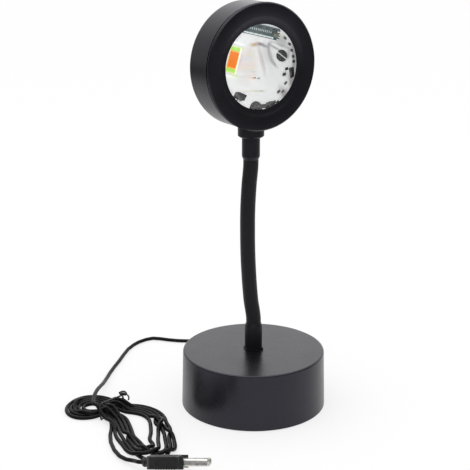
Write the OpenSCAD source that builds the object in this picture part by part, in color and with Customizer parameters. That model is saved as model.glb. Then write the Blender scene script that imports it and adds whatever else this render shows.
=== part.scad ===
// Sunset projection lamp: weighted drum base, gooseneck, round head with a thick convex lens, and its USB lead.
// The origin is the middle of the base on the surface it stands on. The lamp is seen from the -Y side.

/* [Base] */
// Diameter of the base at its top
base_top_d = 100; // [90:1:120]
// How far the base's foot stands out beyond its top
base_flare = 1; // [0:0.1:2]
// Height of the base over the surface
base_h = 40.4; // [36:0.2:50]
// Wall of the base shell
base_wall = 2; // [1.4:0.2:3]
// Thickness of the shell's top plate
base_top_t = 2.5; // [2:0.5:4]
// Rounding of the shell's top rim
base_rim_r = 1.2; // [0.4:0.2:1.8]
// Height of the shell's lower edge over the surface
shell_lift = 0.6; // [0.2:0.1:1.2]
// How far the foam pad stays inside the foot
pad_in = 4; // [3.6:0.1:4.2]
// Thickness of the foam pad
pad_t = 1.6; // [1.2:0.1:2]
// Thickness of the bottom cover
cover_t = 2; // [1.8:0.1:3]
// Gap between the iron ballast and the screw bosses
ballast_gap = 0.9; // [0.5:0.1:8]
// Thickness of the iron ballast
ballast_t = 11; // [6:0.5:13]
// Diameter of the shell's screw bosses
boss_d = 8; // [7:0.2:8]

/* [Neck] */
// Outside diameter of the gooseneck
neck_d = 10.2; // [9:0.1:11]
// Length of the gooseneck between its first and last joint
neck_len = 114.8; // [100:0.2:150]
// Bore for the lead all the way up the neck
neck_bore_d = 3.8; // [3.4:0.1:4.2]
// Outside diameter of the ferrules
ferrule_d = 12.3; // [11.2:0.1:13]
// Length of the lower ferrule's full diameter
lower_ferrule_h = 16.2; // [12:0.2:18]
// Length of the upper ferrule's full diameter
upper_ferrule_h = 13.5; // [10:0.5:18]
// Length over which a ferrule tapers down to the neck
ferrule_taper = 2.5; // [1.5:0.1:3]
// Diameter of the threaded studs at both ends of the neck
stud_d = 10; // [9.6:0.1:10.4]
// Size across the corners of the lower fitting's hex flange
flange_d = 14.4; // [13:0.1:17]
// Height of the hex flange
flange_h = 1.6; // [1:0.2:3]
// Size of both nuts across their flats
nut_af = 14; // [13:0.5:15]
// Height of both nuts
nut_h = 3; // [2:0.2:3.2]
// Thickness of both washers
washer_t = 1; // [0.8:0.1:1.2]
// Diameter of the washer in the base
base_washer_d = 20; // [18:1:26]

/* [Head] */
// Outside diameter of the head housing
housing_d = 83.8; // [82:0.2:92]
// Distance from the neck's axis back to the housing's rear face
housing_back = 10; // [9.4:0.2:14]
// Distance from the neck's axis forward to the housing's front edge
housing_front = 10.8; // [10.4:0.1:12]
// Wall of the housing
housing_wall = 1.8; // [1.4:0.1:2.2]
// How far the bezel stands proud of the housing all round
bezel_lip = 0.4; // [0.2:0.1:1.2]
// Distance from the neck's axis forward to the bezel's face
bezel_front = 14; // [13.9:0.1:15.4]
// Height of the bezel's outer edge
bezel_edge_h = 1.5; // [1:0.1:1.6]
// Depth of the shadow groove between housing and bezel
groove_depth = 0.8; // [0.4:0.1:1.2]
// Width of the bezel's flat face
face_w = 8.6; // [7.6:0.1:9.4]
// Width of the bevel round the lens
bevel_w = 5; // [4.4:0.1:5.4]
// Depth of that bevel
bevel_h = 2.1; // [1.4:0.1:2.2]
// How far the lens reaches under the bezel all round
lens_lap = 0.8; // [0.5:0.1:1]
// Thickness of the lens at its edge
lens_edge = 6.9; // [6.4:0.1:7]
// Distance from the neck's axis forward to the lens's crown
lens_front = 21; // [20.2:0.1:21.4]
// Distance from the neck's axis forward to the lens's flat rear face
lens_rear = 4; // [3.4:0.1:4.1]
// How far the head is turned to the side about the neck
head_turn = 34; // [0:1:60]
// Outside diameter of the collar under the head
collar_d = 17.9; // [16:0.2:20]
// Height of the collar up to the housing's lowest point
collar_h = 6.45; // [5:0.05:9]
// Gap between the light board and the housing's inside
board_margin = 7.1; // [7:0.1:9]
// Thickness of the light board
board_t = 1.6; // [1.2:0.2:1.6]
// Height of the bosses that the light board stands on
board_boss_h = 1; // [0.8:0.1:1.4]

/* [Lead and plug] */
// Diameter of the USB lead
cord_d = 2.8; // [2.6:0.1:3]
// Diameter of the wire pair inside the lamp
wire_d = 2.6; // [2:0.1:2.8]
// Height of the lead's exit over the surface
exit_z = 8; // [7:0.5:12]
// Length of the strain relief outside the base
relief_len = 11; // [8:0.5:16]
// Whole loops in the hank, wound in and out again in two layers
hank_turns = 5; // [3:1:6]
// Wire diameter of the tie round the hank
tie_d = 1; // [0.8:0.1:1.2]
// Width of the plug's overmould
plug_w = 16; // [14:0.5:17]
// Thickness of the plug's overmould
plug_t = 8; // [7:0.2:8.4]
// Length of the plug's overmould
plug_len = 24; // [20:0.5:28]
// Width of the plug's metal shell
shell_w = 12; // [11.9:0.1:12.1]
// Thickness of the plug's metal shell
shell_t = 4.5; // [4.4:0.1:4.6]
// Length of the metal shell beyond the overmould
shell_len = 15.2; // [11.75:0.05:16]
// Sheet thickness of the metal shell
shell_sheet = 0.3; // [0.2:0.05:0.4]

/* [Fits and screws] */
// Clearance between curved faces that turn on each other
turn_gap = 0.3; // [0.2:0.05:0.4]
// Clearance round a fixed piece in its hole
fit_gap = 0.2; // [0.1:0.05:0.3]
// Clearance round a screw in its hole
screw_gap = 0.1; // [0.05:0.05:0.15]
// Shank diameter of the cover and board screws
screw_d = 3; // [2.6:0.1:3.2]
// Head diameter of the cover and board screws
screw_head_d = 5.8; // [5.4:0.1:6]
// Shank diameter of the retainer screws
small_screw_d = 2; // [1.6:0.1:2.2]

/* [Hidden] */
$fn = 96;
cut = 0.5;

// Base
cover_z = pad_t;
cover_top = cover_z + cover_t;
base_foot_d = base_top_d + 2 * base_flare;
pad_d = base_foot_d - 2 * pad_in;
boss_at = base_top_d / 2 - base_wall - boss_d / 2 - screw_gap;
ballast_d = 2 * (boss_at - boss_d / 2 - ballast_gap);
ballast_chamfer = 0.8;
base_inner_r = base_foot_d / 2 - base_wall;
cover_d = 2 * (base_inner_r - turn_gap) - 0.4;
plate_z = base_h - base_top_t;
boss_z = cover_top;
screw_len = 8;
screw_head_h = 1.6;
slot_l = 0.55 * screw_head_d;
slot_w = 0.1 * screw_head_d;
boss_turn = [30, 150, 270];
thread_len = screw_len + 1;
relief_wall_y = base_foot_d / 2 - (base_foot_d - base_top_d) / 2 * exit_z / base_h;
relief_root_d = 7;
relief_tip_d = 4;
relief_flange_d = 8.6;
relief_in = 2.2;

// Neck: the sway of its axis at each joint, as the lamp stands
neck_sway = [0, -2, -3.3, -4.1, -4.4, -4.3, -3.5, -2.3];
links = len(neck_sway) - 1;
neck_r = neck_d / 2;
spigot_d = neck_d - 1.5;
joint_first = base_h + flange_h + lower_ferrule_h + ferrule_taper + 0.8;
joint_last = joint_first + neck_len;
function joint_at(k) = [neck_sway[k], 0, joint_first + k * neck_len / links];
socket_r = neck_r + turn_gap;
socket_rim = sqrt(socket_r * socket_r - neck_r * neck_r);
wire_gap = 0.6;
flange_turn = -14.5;
stud_below = plate_z - washer_t - nut_h - 2;
upper_taper_z = joint_last + socket_rim;
upper_ferrule_z = upper_taper_z + ferrule_taper;
upper_ferrule_top = upper_ferrule_z + upper_ferrule_h;

// Head, in its own frame: +Z to the front, +Y up, the neck's axis at z = 0
head_x = neck_sway[links];
housing_r = housing_d / 2;
head_z = upper_ferrule_top + collar_h + housing_r;
bezel_d = housing_d + 2 * bezel_lip;
groove_d = housing_d - 2 * groove_depth;
bevel_d = bezel_d - 2 * face_w;
opening_d = bevel_d - 2 * bevel_w;
lens_d = opening_d + 2 * lens_lap;
lens_rise = lens_front - lens_rear - lens_edge;
lens_r = (lens_d * lens_d / 4 + lens_rise * lens_rise) / (2 * lens_rise);
housing_in_r = housing_r - housing_wall;
housing_edge_r = 1.2;
housing_floor = -housing_back + housing_wall;
board_d = 2 * (housing_in_r - board_margin);
board_full_d = 66;
board_scale = board_d / board_full_d;
board_z = housing_floor + board_boss_h;
board_top = board_z + board_t;
bezel_skirt_r = housing_in_r - fit_gap;
bezel_skirt_h = 2.6;
bezel_skirt_wall = 2;
bezel_skirt_z = housing_front - bezel_skirt_h;
bezel_chamfer = 0.8;
barrel_wall = 2.5;
lens_pocket_r = lens_d / 2 + fit_gap;
lens_rim_z = lens_front - lens_r + sqrt(lens_r * lens_r - opening_d * opening_d / 4);
gasket_t = 0.5;
retainer_t = 1.5;
retainer_top = lens_rear - gasket_t;
retainer_lap = 0.7;
retainer_in_r = lens_d / 2 - retainer_lap;
retainer_grip = 5;
small_head_d = 1.9 * small_screw_d;
small_head_h = 0.6 * small_screw_d;
retainer_boss_d = 4.8;
retainer_screw_at = lens_pocket_r + barrel_wall + 0.4 + retainer_boss_d / 2;
retainer_turn = [90, 210, 330];
board_screw_at = 20.4 * board_scale;
board_screw_stop = 1;
board_boss_d = 7;
pan_h = 0.33 * screw_head_d;
pan_r = 0.71 * screw_head_d;
board_screw_turn = [6.5, 126.5, 246.5];
washer_seat = -housing_in_r;
head_washer_d = 15;
washer_rise = 1.2;
head_washer_y = washer_seat + washer_rise + washer_t;
head_stud_top = head_z + head_washer_y + nut_h + washer_rise;

// Light board, seen from the front: x to the right, y up
wire_hole_at = board_scale * [7.5, -23.2];
wire_hole_d = 8;
led_at = [-5.3, 1.9];
led_turn = -16.5;
led_size = [8.4, 16.4, 0.9];
led_pocket = [5.4, 13.4];
led_amber = [5, 8.4];
control_at = board_scale * [7.1, 16.9];
control_size = [25, 6.2, 1];
control_turn = -16.5;
control_stand = 1.4;
phosphor_t = 0.3;
chip_size = [2, 1.3, 0.8];
chip_spots = [
    [22.9, 11, -35], [25.4, 7.5, -25], [26.3, 4.5, -15], [27.1, 1.9, -5], [27.1, -0.7, 0], [21.8, -3.9, 10],
    [20.9, -6.1, 15], [23.1, -10.9, 40], [19.2, -15.4, 40], [17.9, -21.2, 50], [7, -8, -10]
];
receiver_size = [3, 4.8, 2.6];
receiver_at = board_scale * [25.9, -6.2];
receiver_turn = 10;
regulator_size = [4.8, 3.4, 1.4];
regulator_at = board_scale * [-2.1, -16.8];
regulator_turn = -25;
header_pins = 9;
pin_pitch = 2.54;
pin_d = 0.64;
connector_size = [4, 4.4, 3.2];
connector_at = [wire_hole_at[0] + 6.6, wire_hole_at[1] + 0.6];

// Lead: points of its free route behind the base, chosen by hand, then two computed ends at the hank
lead_start = [0, relief_wall_y + relief_len, exit_z];
lead_route = [
    lead_start + [0, 2, 0], lead_start + [0, 5.2, -0.2], lead_start + [0, 10.2, -1.2], lead_start + [-1, 16.2, -3.4],
    lead_start + [-3, 22.2, -5.4], [-6, 90, 1.7], [-11, 96, 1.5], [-18, 101, 1.5],
    [-26, 105, 1.5], [-34, 108, 1.5], [-43, 109.5, 1.5], [-52, 110, 1.5], [-61, 110.5, 1.5], [-69, 112.3, 1.5],
    [-76, 114.6, 1.5], [-82, 115.5, 1.5], [-87.5, 112.3, 1.5], [-92.5, 107, 1.5], [-96, 101, 1.5],
    [-99.5, 92, 1.5], [-102, 80, 1.5], [-104, 68, 1.5], [-106.5, 56, 1.5], [-108.5, 44, 1.6], [-109.5, 33, 2.3],
    [-110, 24, 3.6], [-110.3, 16, 5.2], [-110.8, 9, 6.8], [-111.3, 2, 8.3], [-112, -6, 9.5], [-112.3, -14, 10.1],
    [-112.2, -21, 10.1], [-111.8, -26, 10], [-110.6, -29, 9.9]
];
tail_route = [
    [-99.9, -36.2, 2.6], [-98.1, -39.4, 2], [-97.1, -44, 1.6], [-96.4, -51, 1.5], [-96.2, -60, 1.5],
    [-94.6, -70.5, 1.5], [-91, -82, 1.6], [-86.5, -91, 1.9], [-81.5, -97.3, 2.8], [-76, -101.8, 4.2]
];

// Hank: one tube wound in a bent bow, narrow at the tie; each turn lies inside the last
waist = [-99, -22];
heading_left = -16;
heading_right = -70;
bend_from = -8;
bend_to = 28;
loop_mid = 26;
loop_half = 61;
step_long = 5;
lobe_left = 33.6;
lobe_far = 23.4;
lobe_near = 18;
step_wide = 5.2;
waist_half = 13.4;
step_waist = 5.4;
spread_left = 15.5;
spread_far = 10.5;
spread_near = 26;
layer_step = cord_d + 0.65;
landing = 3.4;
landing_turn = 0.08;
layer_low = cord_d / 2 + 0.1;
waist_lift = tie_d + 0.5;
waist_run = 12;
tie_slack = 2.1;
turns_in = (hank_turns - 0.5) / 2;
rings_turn = 24;
waist_angle = acos(-loop_mid / loop_half);

// Plug, in its own frame: +X to its tip, +Y its width, +Z its thickness
plug_at = [-65.8, -108.5, 6.9];
plug_yaw = -9;
plug_pitch = -5;
plug_roll = -22;
knob_d = 6.6;
knob_len = 4;
grip_ribs = 6;
grip_from = 5;
grip_pitch = 1.7;
tongue_t = 1.9;
notch_len = 3.4;

// Colours
black = [0.12, 0.12, 0.13];
cable_black = [0.08, 0.08, 0.09];

// Small geometry helpers
function unit(v) = v / norm(v);
function flat_dir(a) = [cos(a), sin(a), 0];
function smooth(t) = t <= 0 ? 0 : t >= 1 ? 1 : t * t * (3 - 2 * t);

// Direction of a route at point i
function heading(p, i) =
    let (last = len(p) - 1)
    i == 0 ? unit(p[1] - p[0])
        : i == last ? unit(p[last] - p[last - 1])
        : unit(unit(p[i] - p[i - 1]) + unit(p[i + 1] - p[i]));

// Ring of a tube at point i; side is a direction that the route never runs along
function tube_ring(p, i, r, sides, side) =
    let (t = heading(p, i), a = unit(cross(t, side)), b = cross(t, a))
    [for (k = [0:sides - 1]) p[i] + r * (cos(360 * (k + 0.5) / sides) * a + sin(360 * (k + 0.5) / sides) * b)];

// Closed tube of diameter d along the points p
module tube(p, d, sides, side = [0, 0, 1]) {
    n = len(p);
    rings = [for (i = [0:n - 1]) each tube_ring(p, i, d / 2, sides, side)];
    walls = [for (i = [0:n - 2], k = [0:sides - 1])
        let (a = i * sides + k, b = i * sides + (k + 1) % sides)
        each [[a, b, b + sides], [a, b + sides, a + sides]]];
    first = [for (k = [1:sides - 2]) [0, k + 1, k]];
    end = (n - 1) * sides;
    last = [for (k = [1:sides - 2]) [end, end + k, end + k + 1]];
    polyhedron(rings, concat(walls, first, last));
}

// Places children so that their +Z runs from joint a to joint b of the neck
module along_neck(k) {
    a = joint_at(k);
    b = joint_at(k + 1);
    translate(a) rotate([0, atan2(b[0] - a[0], b[2] - a[2]), 0]) children();
}

function link_len(k) = norm(joint_at(k + 1) - joint_at(k));

// Clears the way for the wire pair where it swings inside a ball
module wire_flare() {
    translate([0, 0, turn_gap]) cylinder(h = neck_r + 1, d1 = neck_bore_d, d2 = neck_bore_d + 1.25 * neck_r);
}

module in_head() {
    translate([head_x, 0, head_z]) rotate([0, 0, head_turn]) rotate([90, 0, 0]) children();
}

module in_plug() {
    translate(plug_at) rotate([0, 0, plug_yaw]) rotate([0, plug_pitch, 0]) rotate([plug_roll, 0, 0]) children();
}

module at_turns(turns, r) {
    for (a = turns) rotate(a) translate([r, 0, 0]) children();
}

// Base
module base_shell() color(black) {
    top_r = base_top_d / 2;
    foot_r = base_foot_d / 2;
    difference() {
        union() {
            rotate_extrude() difference() {
                union() {
                    polygon([[0, shell_lift], [foot_r, shell_lift], [top_r, base_h - base_rim_r],
                        [top_r - base_rim_r, base_h], [0, base_h]]);
                    translate([top_r - base_rim_r, base_h - base_rim_r]) circle(base_rim_r);
                }
                polygon([[-1, -1], [foot_r - base_wall, -1], [foot_r - base_wall, shell_lift],
                    [top_r - base_wall, plate_z], [-1, plate_z]]);
            }
            at_turns(boss_turn, boss_at) translate([0, 0, boss_z]) cylinder(h = plate_z - boss_z + cut, d = boss_d);
        }
        translate([0, 0, plate_z - 1]) cylinder(h = base_top_t + 2, d = stud_d + 2 * fit_gap);
        at_turns(boss_turn, boss_at) translate([0, 0, boss_z - 1])
            cylinder(h = thread_len + 1, d = screw_d + 2 * screw_gap);
        translate([0, base_foot_d / 2 - base_wall - 5, exit_z]) rotate([-90, 0, 0])
            cylinder(h = base_wall + 10, d = relief_root_d + 2 * fit_gap);
    }
}

module bottom_cover() color([0.15, 0.15, 0.16]) {
    difference() {
        translate([0, 0, cover_z]) cylinder(h = cover_t, d = cover_d);
        at_turns(boss_turn, boss_at) translate([0, 0, cover_z]) {
            translate([0, 0, -1]) cylinder(h = cover_t + 2, d = screw_d + 2 * screw_gap);
            translate([0, 0, -0.01]) cylinder(h = screw_head_h + screw_gap, d1 = screw_head_d + 2 * screw_gap,
                d2 = screw_d + 2 * screw_gap);
        }
    }
}

module cover_screws() color("silver") {
    at_turns(boss_turn, boss_at) translate([0, 0, cover_z]) difference() {
        union() {
            cylinder(h = screw_head_h, d1 = screw_head_d, d2 = screw_d);
            cylinder(h = screw_len + cover_t, d = screw_d);
        }
        for (a = [0, 90]) rotate(a) translate([-slot_l / 2, -slot_w / 2, -cut])
            cube([slot_l, slot_w, cut + screw_head_h / 2]);
    }
}

module bottom_pad() color([0.1, 0.1, 0.1]) cylinder(h = pad_t, d = pad_d);

module ballast_weight() color([0.35, 0.35, 0.36]) {
    translate([0, 0, cover_top]) difference() {
        cylinder(h = ballast_t, d = ballast_d);
        translate([0, 0, ballast_t]) rotate_extrude() translate([ballast_d / 2, 0])
            polygon([[-ballast_chamfer, 0], [1, 1 + ballast_chamfer], [1, -1 - ballast_chamfer],
                [0, -ballast_chamfer]]);
    }
}

module neck_nut() color("goldenrod") {
    translate([0, 0, plate_z - washer_t - nut_h]) difference() {
        cylinder(h = nut_h, d = nut_af / cos(30), $fn = 6);
        translate([0, 0, -1]) cylinder(h = nut_h + 2, d = stud_d + 2 * screw_gap);
    }
}

module neck_washer() color("silver") {
    translate([0, 0, plate_z - washer_t]) difference() {
        cylinder(h = washer_t, d = base_washer_d);
        translate([0, 0, -1]) cylinder(h = washer_t + 2, d = stud_d + 2 * fit_gap);
    }
}

// Tapered rubber sleeve that holds the lead in the shell's rear wall
module strain_relief() color(cable_black) {
    wall_in = relief_wall_y - base_wall;
    translate([0, 0, exit_z]) rotate([-90, 0, 0]) difference() {
        union() {
            translate([0, 0, wall_in - relief_in]) cylinder(h = relief_in - turn_gap, d = relief_flange_d);
            translate([0, 0, wall_in - relief_in]) cylinder(h = relief_in + base_wall + 1, d = relief_root_d);
            translate([0, 0, relief_wall_y + 1]) cylinder(h = relief_len - 1, d1 = relief_root_d, d2 = relief_tip_d);
        }
        translate([0, 0, wall_in - relief_in - 1])
            cylinder(h = relief_in + base_wall + relief_len - 1, d = cord_d + 2 * fit_gap);
        for (z = [3.4, 5.8, 8.2]) translate([0, 0, relief_wall_y + z * relief_len / 11])
            rotate_extrude() translate([relief_tip_d / 2 + 0.1, 0]) square([3, 0.9]);
    }
}

// The lead inside the base: from the strain relief over the ballast and up the lower fitting
module base_lead() color(cable_black) {
    over = cover_top + ballast_t + wire_d / 2 + 0.6;
    in_y = relief_wall_y - base_wall - relief_in;
    end_z = joint_first - wire_gap;
    points = [
        [0, relief_wall_y - cut, exit_z], [0, in_y, exit_z], [0, in_y - 2.2, exit_z + 0.8],
        [0, in_y - 3.4, exit_z + 3], [0, in_y - 4.6, over - 3.2], [0, in_y - 7, over - 1], [0, in_y - 11, over],
        [0, 24, over], [0, 12, over + 0.2], [0, 6, over + 2], [0, 2, over + 5.4], [0, 0.4, over + 9],
        [0, 0, stud_below + 1], [0, 0, base_h], [0, 0, end_z]
    ];
    tube(points, wire_d, 8, side = [1, 0, 0]);
}

module lower_fitting() color("goldenrod") {
    ball = joint_at(0);
    difference() {
        union() {
            translate([0, 0, stud_below]) cylinder(h = base_h - stud_below + cut, d = stud_d);
            translate([0, 0, base_h]) rotate(flange_turn) cylinder(h = flange_h, d = flange_d, $fn = 6);
            translate([0, 0, base_h]) cylinder(h = joint_first - base_h + cut, d = spigot_d);
            intersection() {
                translate(ball) sphere(neck_r);
                translate([0, 0, joint_first]) cylinder(h = neck_d, d = 2 * neck_d);
            }
        }
        translate([0, 0, stud_below - 1]) cylinder(h = joint_first - stud_below + neck_d, d = neck_bore_d);
        translate(ball) wire_flare();
    }
}

module lower_ferrule() color(black) {
    z = base_h + flange_h;
    difference() {
        union() {
            translate([0, 0, z]) cylinder(h = lower_ferrule_h, d = ferrule_d);
            translate([0, 0, z + lower_ferrule_h]) cylinder(h = ferrule_taper, d1 = ferrule_d, d2 = neck_d);
            translate([0, 0, z + lower_ferrule_h]) cylinder(h = joint_first - z - lower_ferrule_h, d = neck_d);
        }
        translate([0, 0, z - 1]) cylinder(h = joint_first - z + 2, d = spigot_d + fit_gap);
    }
}

// One link of the gooseneck: a ball at its top, and a socket under it that swings on the ball below
module neck_link(k) {
    color(black) along_neck(k - 1) difference() {
        union() {
            cylinder(h = link_len(k - 1), d = neck_d);
            translate([0, 0, link_len(k - 1)]) sphere(neck_r);
        }
        sphere(socket_r);
        translate([0, 0, -1]) cylinder(h = link_len(k - 1) + neck_d, d = neck_bore_d);
        translate([0, 0, link_len(k - 1)]) wire_flare();
    }
}

module neck_lead(k) {
    color(cable_black) along_neck(k - 1) translate([0, 0, wire_gap])
        cylinder(h = link_len(k - 1) - 2 * wire_gap, d = wire_d);
}

module upper_fitting() color("goldenrod") {
    socket = joint_at(links);
    difference() {
        translate([head_x, 0, 0]) union() {
            translate([0, 0, joint_last]) cylinder(h = upper_ferrule_top - joint_last, d = spigot_d);
            translate([0, 0, upper_ferrule_top]) cylinder(h = head_stud_top - upper_ferrule_top, d = stud_d);
        }
        translate(socket) sphere(socket_r);
        translate([head_x, 0, joint_last - 1]) cylinder(h = head_stud_top - joint_last + 2, d = neck_bore_d);
    }
}

module upper_ferrule() color(black) {
    socket = joint_at(links);
    difference() {
        translate([head_x, 0, 0]) union() {
            translate([0, 0, joint_last]) cylinder(h = upper_taper_z - joint_last + cut, d = neck_d);
            translate([0, 0, upper_taper_z]) cylinder(h = ferrule_taper, d1 = neck_d, d2 = ferrule_d);
            translate([0, 0, upper_ferrule_z]) cylinder(h = upper_ferrule_h, d = ferrule_d);
        }
        translate(socket) sphere(socket_r);
        translate([head_x, 0, joint_last - 1]) cylinder(h = upper_ferrule_top - joint_last + 2,
            d = spigot_d + fit_gap);
    }
}

// Head
module head_collar() color(black) {
    difference() {
        translate([head_x, 0, upper_ferrule_top]) union() {
            cylinder(h = 0.8, d1 = collar_d - 1.6, d2 = collar_d);
            translate([0, 0, 0.8]) cylinder(h = collar_h, d = collar_d);
        }
        translate([head_x, 0, upper_ferrule_top - 1]) cylinder(h = head_z - upper_ferrule_top,
            d = stud_d + 2 * fit_gap);
        in_head() translate([0, 0, -2 * collar_d]) cylinder(h = 4 * collar_d, r = housing_r);
    }
}

// Flat on the nut's side and curved where it seats in the housing
module head_washer() color("silver") {
    reach = head_washer_y - washer_seat + cut;
    in_head() intersection() {
        rotate([90, 0, 0]) translate([0, 0, -head_washer_y]) difference() {
            cylinder(h = reach, d = head_washer_d);
            translate([0, 0, -1]) cylinder(h = reach + 2, d = stud_d + 2 * fit_gap);
        }
        translate([0, 0, -head_washer_d]) cylinder(h = 2 * head_washer_d, r = housing_in_r);
    }
}

module head_nut() color("goldenrod") {
    in_head() rotate([90, 0, 0]) translate([0, 0, -head_washer_y - nut_h]) difference() {
        cylinder(h = nut_h, d = nut_af / cos(30), $fn = 6);
        translate([0, 0, -1]) cylinder(h = nut_h + 2, d = stud_d + 2 * screw_gap);
    }
}

module head_housing() color(black) {
    in_head() difference() {
        union() {
            rotate_extrude() difference() {
                union() {
                    polygon([
                        [0, -housing_back], [housing_r - housing_edge_r, -housing_back],
                        [housing_r, housing_edge_r - housing_back], [housing_r, housing_front], [0, housing_front]
                    ]);
                    translate([housing_r - housing_edge_r, housing_edge_r - housing_back]) circle(housing_edge_r);
                }
                translate([-1, housing_floor]) square([housing_in_r + 1, housing_front - housing_floor + 1]);
            }
            at_turns(board_screw_turn, board_screw_at) translate([0, 0, housing_floor - cut])
                cylinder(h = board_boss_h + cut, d = board_boss_d);
        }
        at_turns(board_screw_turn, board_screw_at) translate([0, 0, board_screw_stop - fit_gap - housing_back])
            cylinder(h = housing_wall + board_boss_h + 1, d = screw_d + 2 * screw_gap);
        rotate([90, 0, 0]) translate([0, 0, housing_in_r - 4]) cylinder(h = housing_wall + 8,
            d = stud_d + 2 * fit_gap);
    }
}

module bezel_ring() color(black) {
    r = bezel_d / 2;
    opening_r = opening_d / 2;
    groove_r = groove_d / 2;
    in_head() difference() {
        union() {
            rotate_extrude() polygon([
                [opening_r, lens_rim_z + 0.1], [lens_pocket_r, lens_rim_z + 0.1],
                [lens_pocket_r, retainer_top], [lens_pocket_r + barrel_wall, retainer_top],
                [lens_pocket_r + barrel_wall, housing_front], [bezel_skirt_r - bezel_skirt_wall, housing_front],
                [bezel_skirt_r - bezel_skirt_wall, bezel_skirt_z], [bezel_skirt_r, bezel_skirt_z],
                [bezel_skirt_r, housing_front], [groove_r, housing_front],
                [groove_r, bezel_front - bezel_edge_h], [r, bezel_front - bezel_edge_h],
                [r, bezel_front - bezel_chamfer], [r - bezel_chamfer, bezel_front], [bevel_d / 2, bezel_front],
                [opening_r, bezel_front - bevel_h]
            ]);
            at_turns(retainer_turn, retainer_screw_at) translate([0, 0, retainer_top])
                cylinder(h = housing_front - retainer_top + cut, d = retainer_boss_d);
        }
        at_turns(retainer_turn, retainer_screw_at) translate([0, 0, retainer_top - 1])
            cylinder(h = retainer_grip + 2, d = small_screw_d + 2 * screw_gap);
    }
}

module lens() color([0.8, 0.9, 0.95, 0.6]) {
    in_head() intersection() {
        translate([0, 0, lens_rear]) cylinder(h = lens_front - lens_rear + 1, d = lens_d);
        translate([0, 0, lens_front - lens_r]) sphere(lens_r);
    }
}

module lens_gasket() color([0.2, 0.2, 0.2]) {
    in_head() translate([0, 0, retainer_top]) difference() {
        cylinder(h = gasket_t, d = lens_d);
        translate([0, 0, -1]) cylinder(h = gasket_t + 2, r = retainer_in_r);
    }
}

module lens_retainer() color([0.16, 0.16, 0.17]) {
    in_head() translate([0, 0, retainer_top - retainer_t]) difference() {
        union() {
            cylinder(h = retainer_t, r = lens_pocket_r + barrel_wall);
            at_turns(retainer_turn, retainer_screw_at) {
                cylinder(h = retainer_t, d = retainer_boss_d);
                translate([-retainer_boss_d, -retainer_boss_d / 2, 0])
                    cube([retainer_boss_d, retainer_boss_d, retainer_t]);
            }
        }
        translate([0, 0, -1]) cylinder(h = retainer_t + 2, r = retainer_in_r);
        at_turns(retainer_turn, retainer_screw_at) translate([0, 0, -1])
            cylinder(h = retainer_t + 2, d = small_screw_d + 2 * screw_gap);
    }
}

module retainer_screws() color("silver") {
    in_head() at_turns(retainer_turn, retainer_screw_at) translate([0, 0, retainer_top - retainer_t]) {
        difference() {
            translate([0, 0, -small_head_h]) cylinder(h = small_head_h, d = small_head_d);
            for (a = [0, 90]) rotate(a) translate([-small_head_d * 0.29, -small_head_d * 0.07, -1 - small_head_h])
                cube([small_head_d * 0.58, small_head_d * 0.14, 1 + small_head_h / 2]);
        }
        cylinder(h = retainer_t + retainer_grip, d = small_screw_d);
    }
}

// White light board, screwed to the housing's bosses
module light_board() color("white") {
    in_head() translate([0, 0, board_z]) difference() {
        cylinder(h = board_t, d = board_d);
        at_turns(board_screw_turn, board_screw_at) translate([0, 0, -1])
            cylinder(h = board_t + 2, d = screw_d + 2 * screw_gap);
        translate([wire_hole_at[0], wire_hole_at[1], -1]) cylinder(h = board_t + 2, d = wire_hole_d);
    }
}

module board_screws() color("silver") {
    in_head() at_turns(board_screw_turn, board_screw_at) translate([0, 0, board_top]) {
        difference() {
            intersection() {
                cylinder(h = pan_h, d = screw_head_d);
                translate([0, 0, pan_h - pan_r]) sphere(pan_r);
            }
            for (a = [45, 135]) rotate(a) translate([-slot_l / 2, -slot_w, pan_h / 2])
                cube([slot_l, 2 * slot_w, pan_h]);
        }
        translate([0, 0, board_screw_stop - board_top - housing_back])
            cylinder(h = housing_back + board_top - board_screw_stop + pan_h / 2, d = screw_d);
    }
}

module led_package() color([0.93, 0.93, 0.9]) {
    in_head() translate([led_at[0], led_at[1], board_top]) rotate(led_turn) difference() {
        translate([-led_size[0] / 2, -led_size[1] / 2, 0]) cube(led_size);
        translate([-led_pocket[0] / 2, -led_pocket[1] / 2, led_size[2] - 0.4])
            cube([led_pocket[0], led_pocket[1], 1]);
    }
}

// Three phosphor fields: amber in the middle, yellow-green above and below it
module led_phosphor() color("orange") {
    side = (led_pocket[1] - led_amber[1]) / 2;
    in_head() translate([led_at[0], led_at[1], board_top + led_size[2] - 0.4]) rotate(led_turn) {
        translate([-led_amber[0] / 2, -led_amber[1] / 2 + 0.1, 0])
            cube([led_amber[0], led_amber[1] - 0.2, phosphor_t]);
        for (s = [-1, 1]) translate([-led_amber[0] / 2, s > 0 ? led_amber[1] / 2 : -led_pocket[1] / 2, 0])
            cube([led_amber[0], side, phosphor_t]);
    }
}

module on_control(z) {
    in_head() translate([control_at[0], control_at[1], board_top + z]) rotate(control_turn) children();
}

module control_board() color("teal") {
    on_control(control_stand) translate([-control_size[0] / 2, -control_size[1] / 2, 0]) cube(control_size);
}

// Pin header under the control board, and the parts on it
module control_parts() color([0.85, 0.83, 0.72]) {
    on_control(0) for (i = [0:header_pins - 1])
        translate([(i - (header_pins - 1) / 2) * pin_pitch - pin_d / 2, 0.5 - control_size[1] / 2, 0])
        cube([pin_d, pin_d, control_stand]);
    on_control(control_stand + control_size[2]) {
        translate([8.2, -1.3, 0]) cube([3.4, 2.6, 1.9]);
        for (i = [0:2]) translate([-9 + 5.2 * i, 0.3, 0]) cube([2, 1.2, 0.6]);
    }
}

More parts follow.
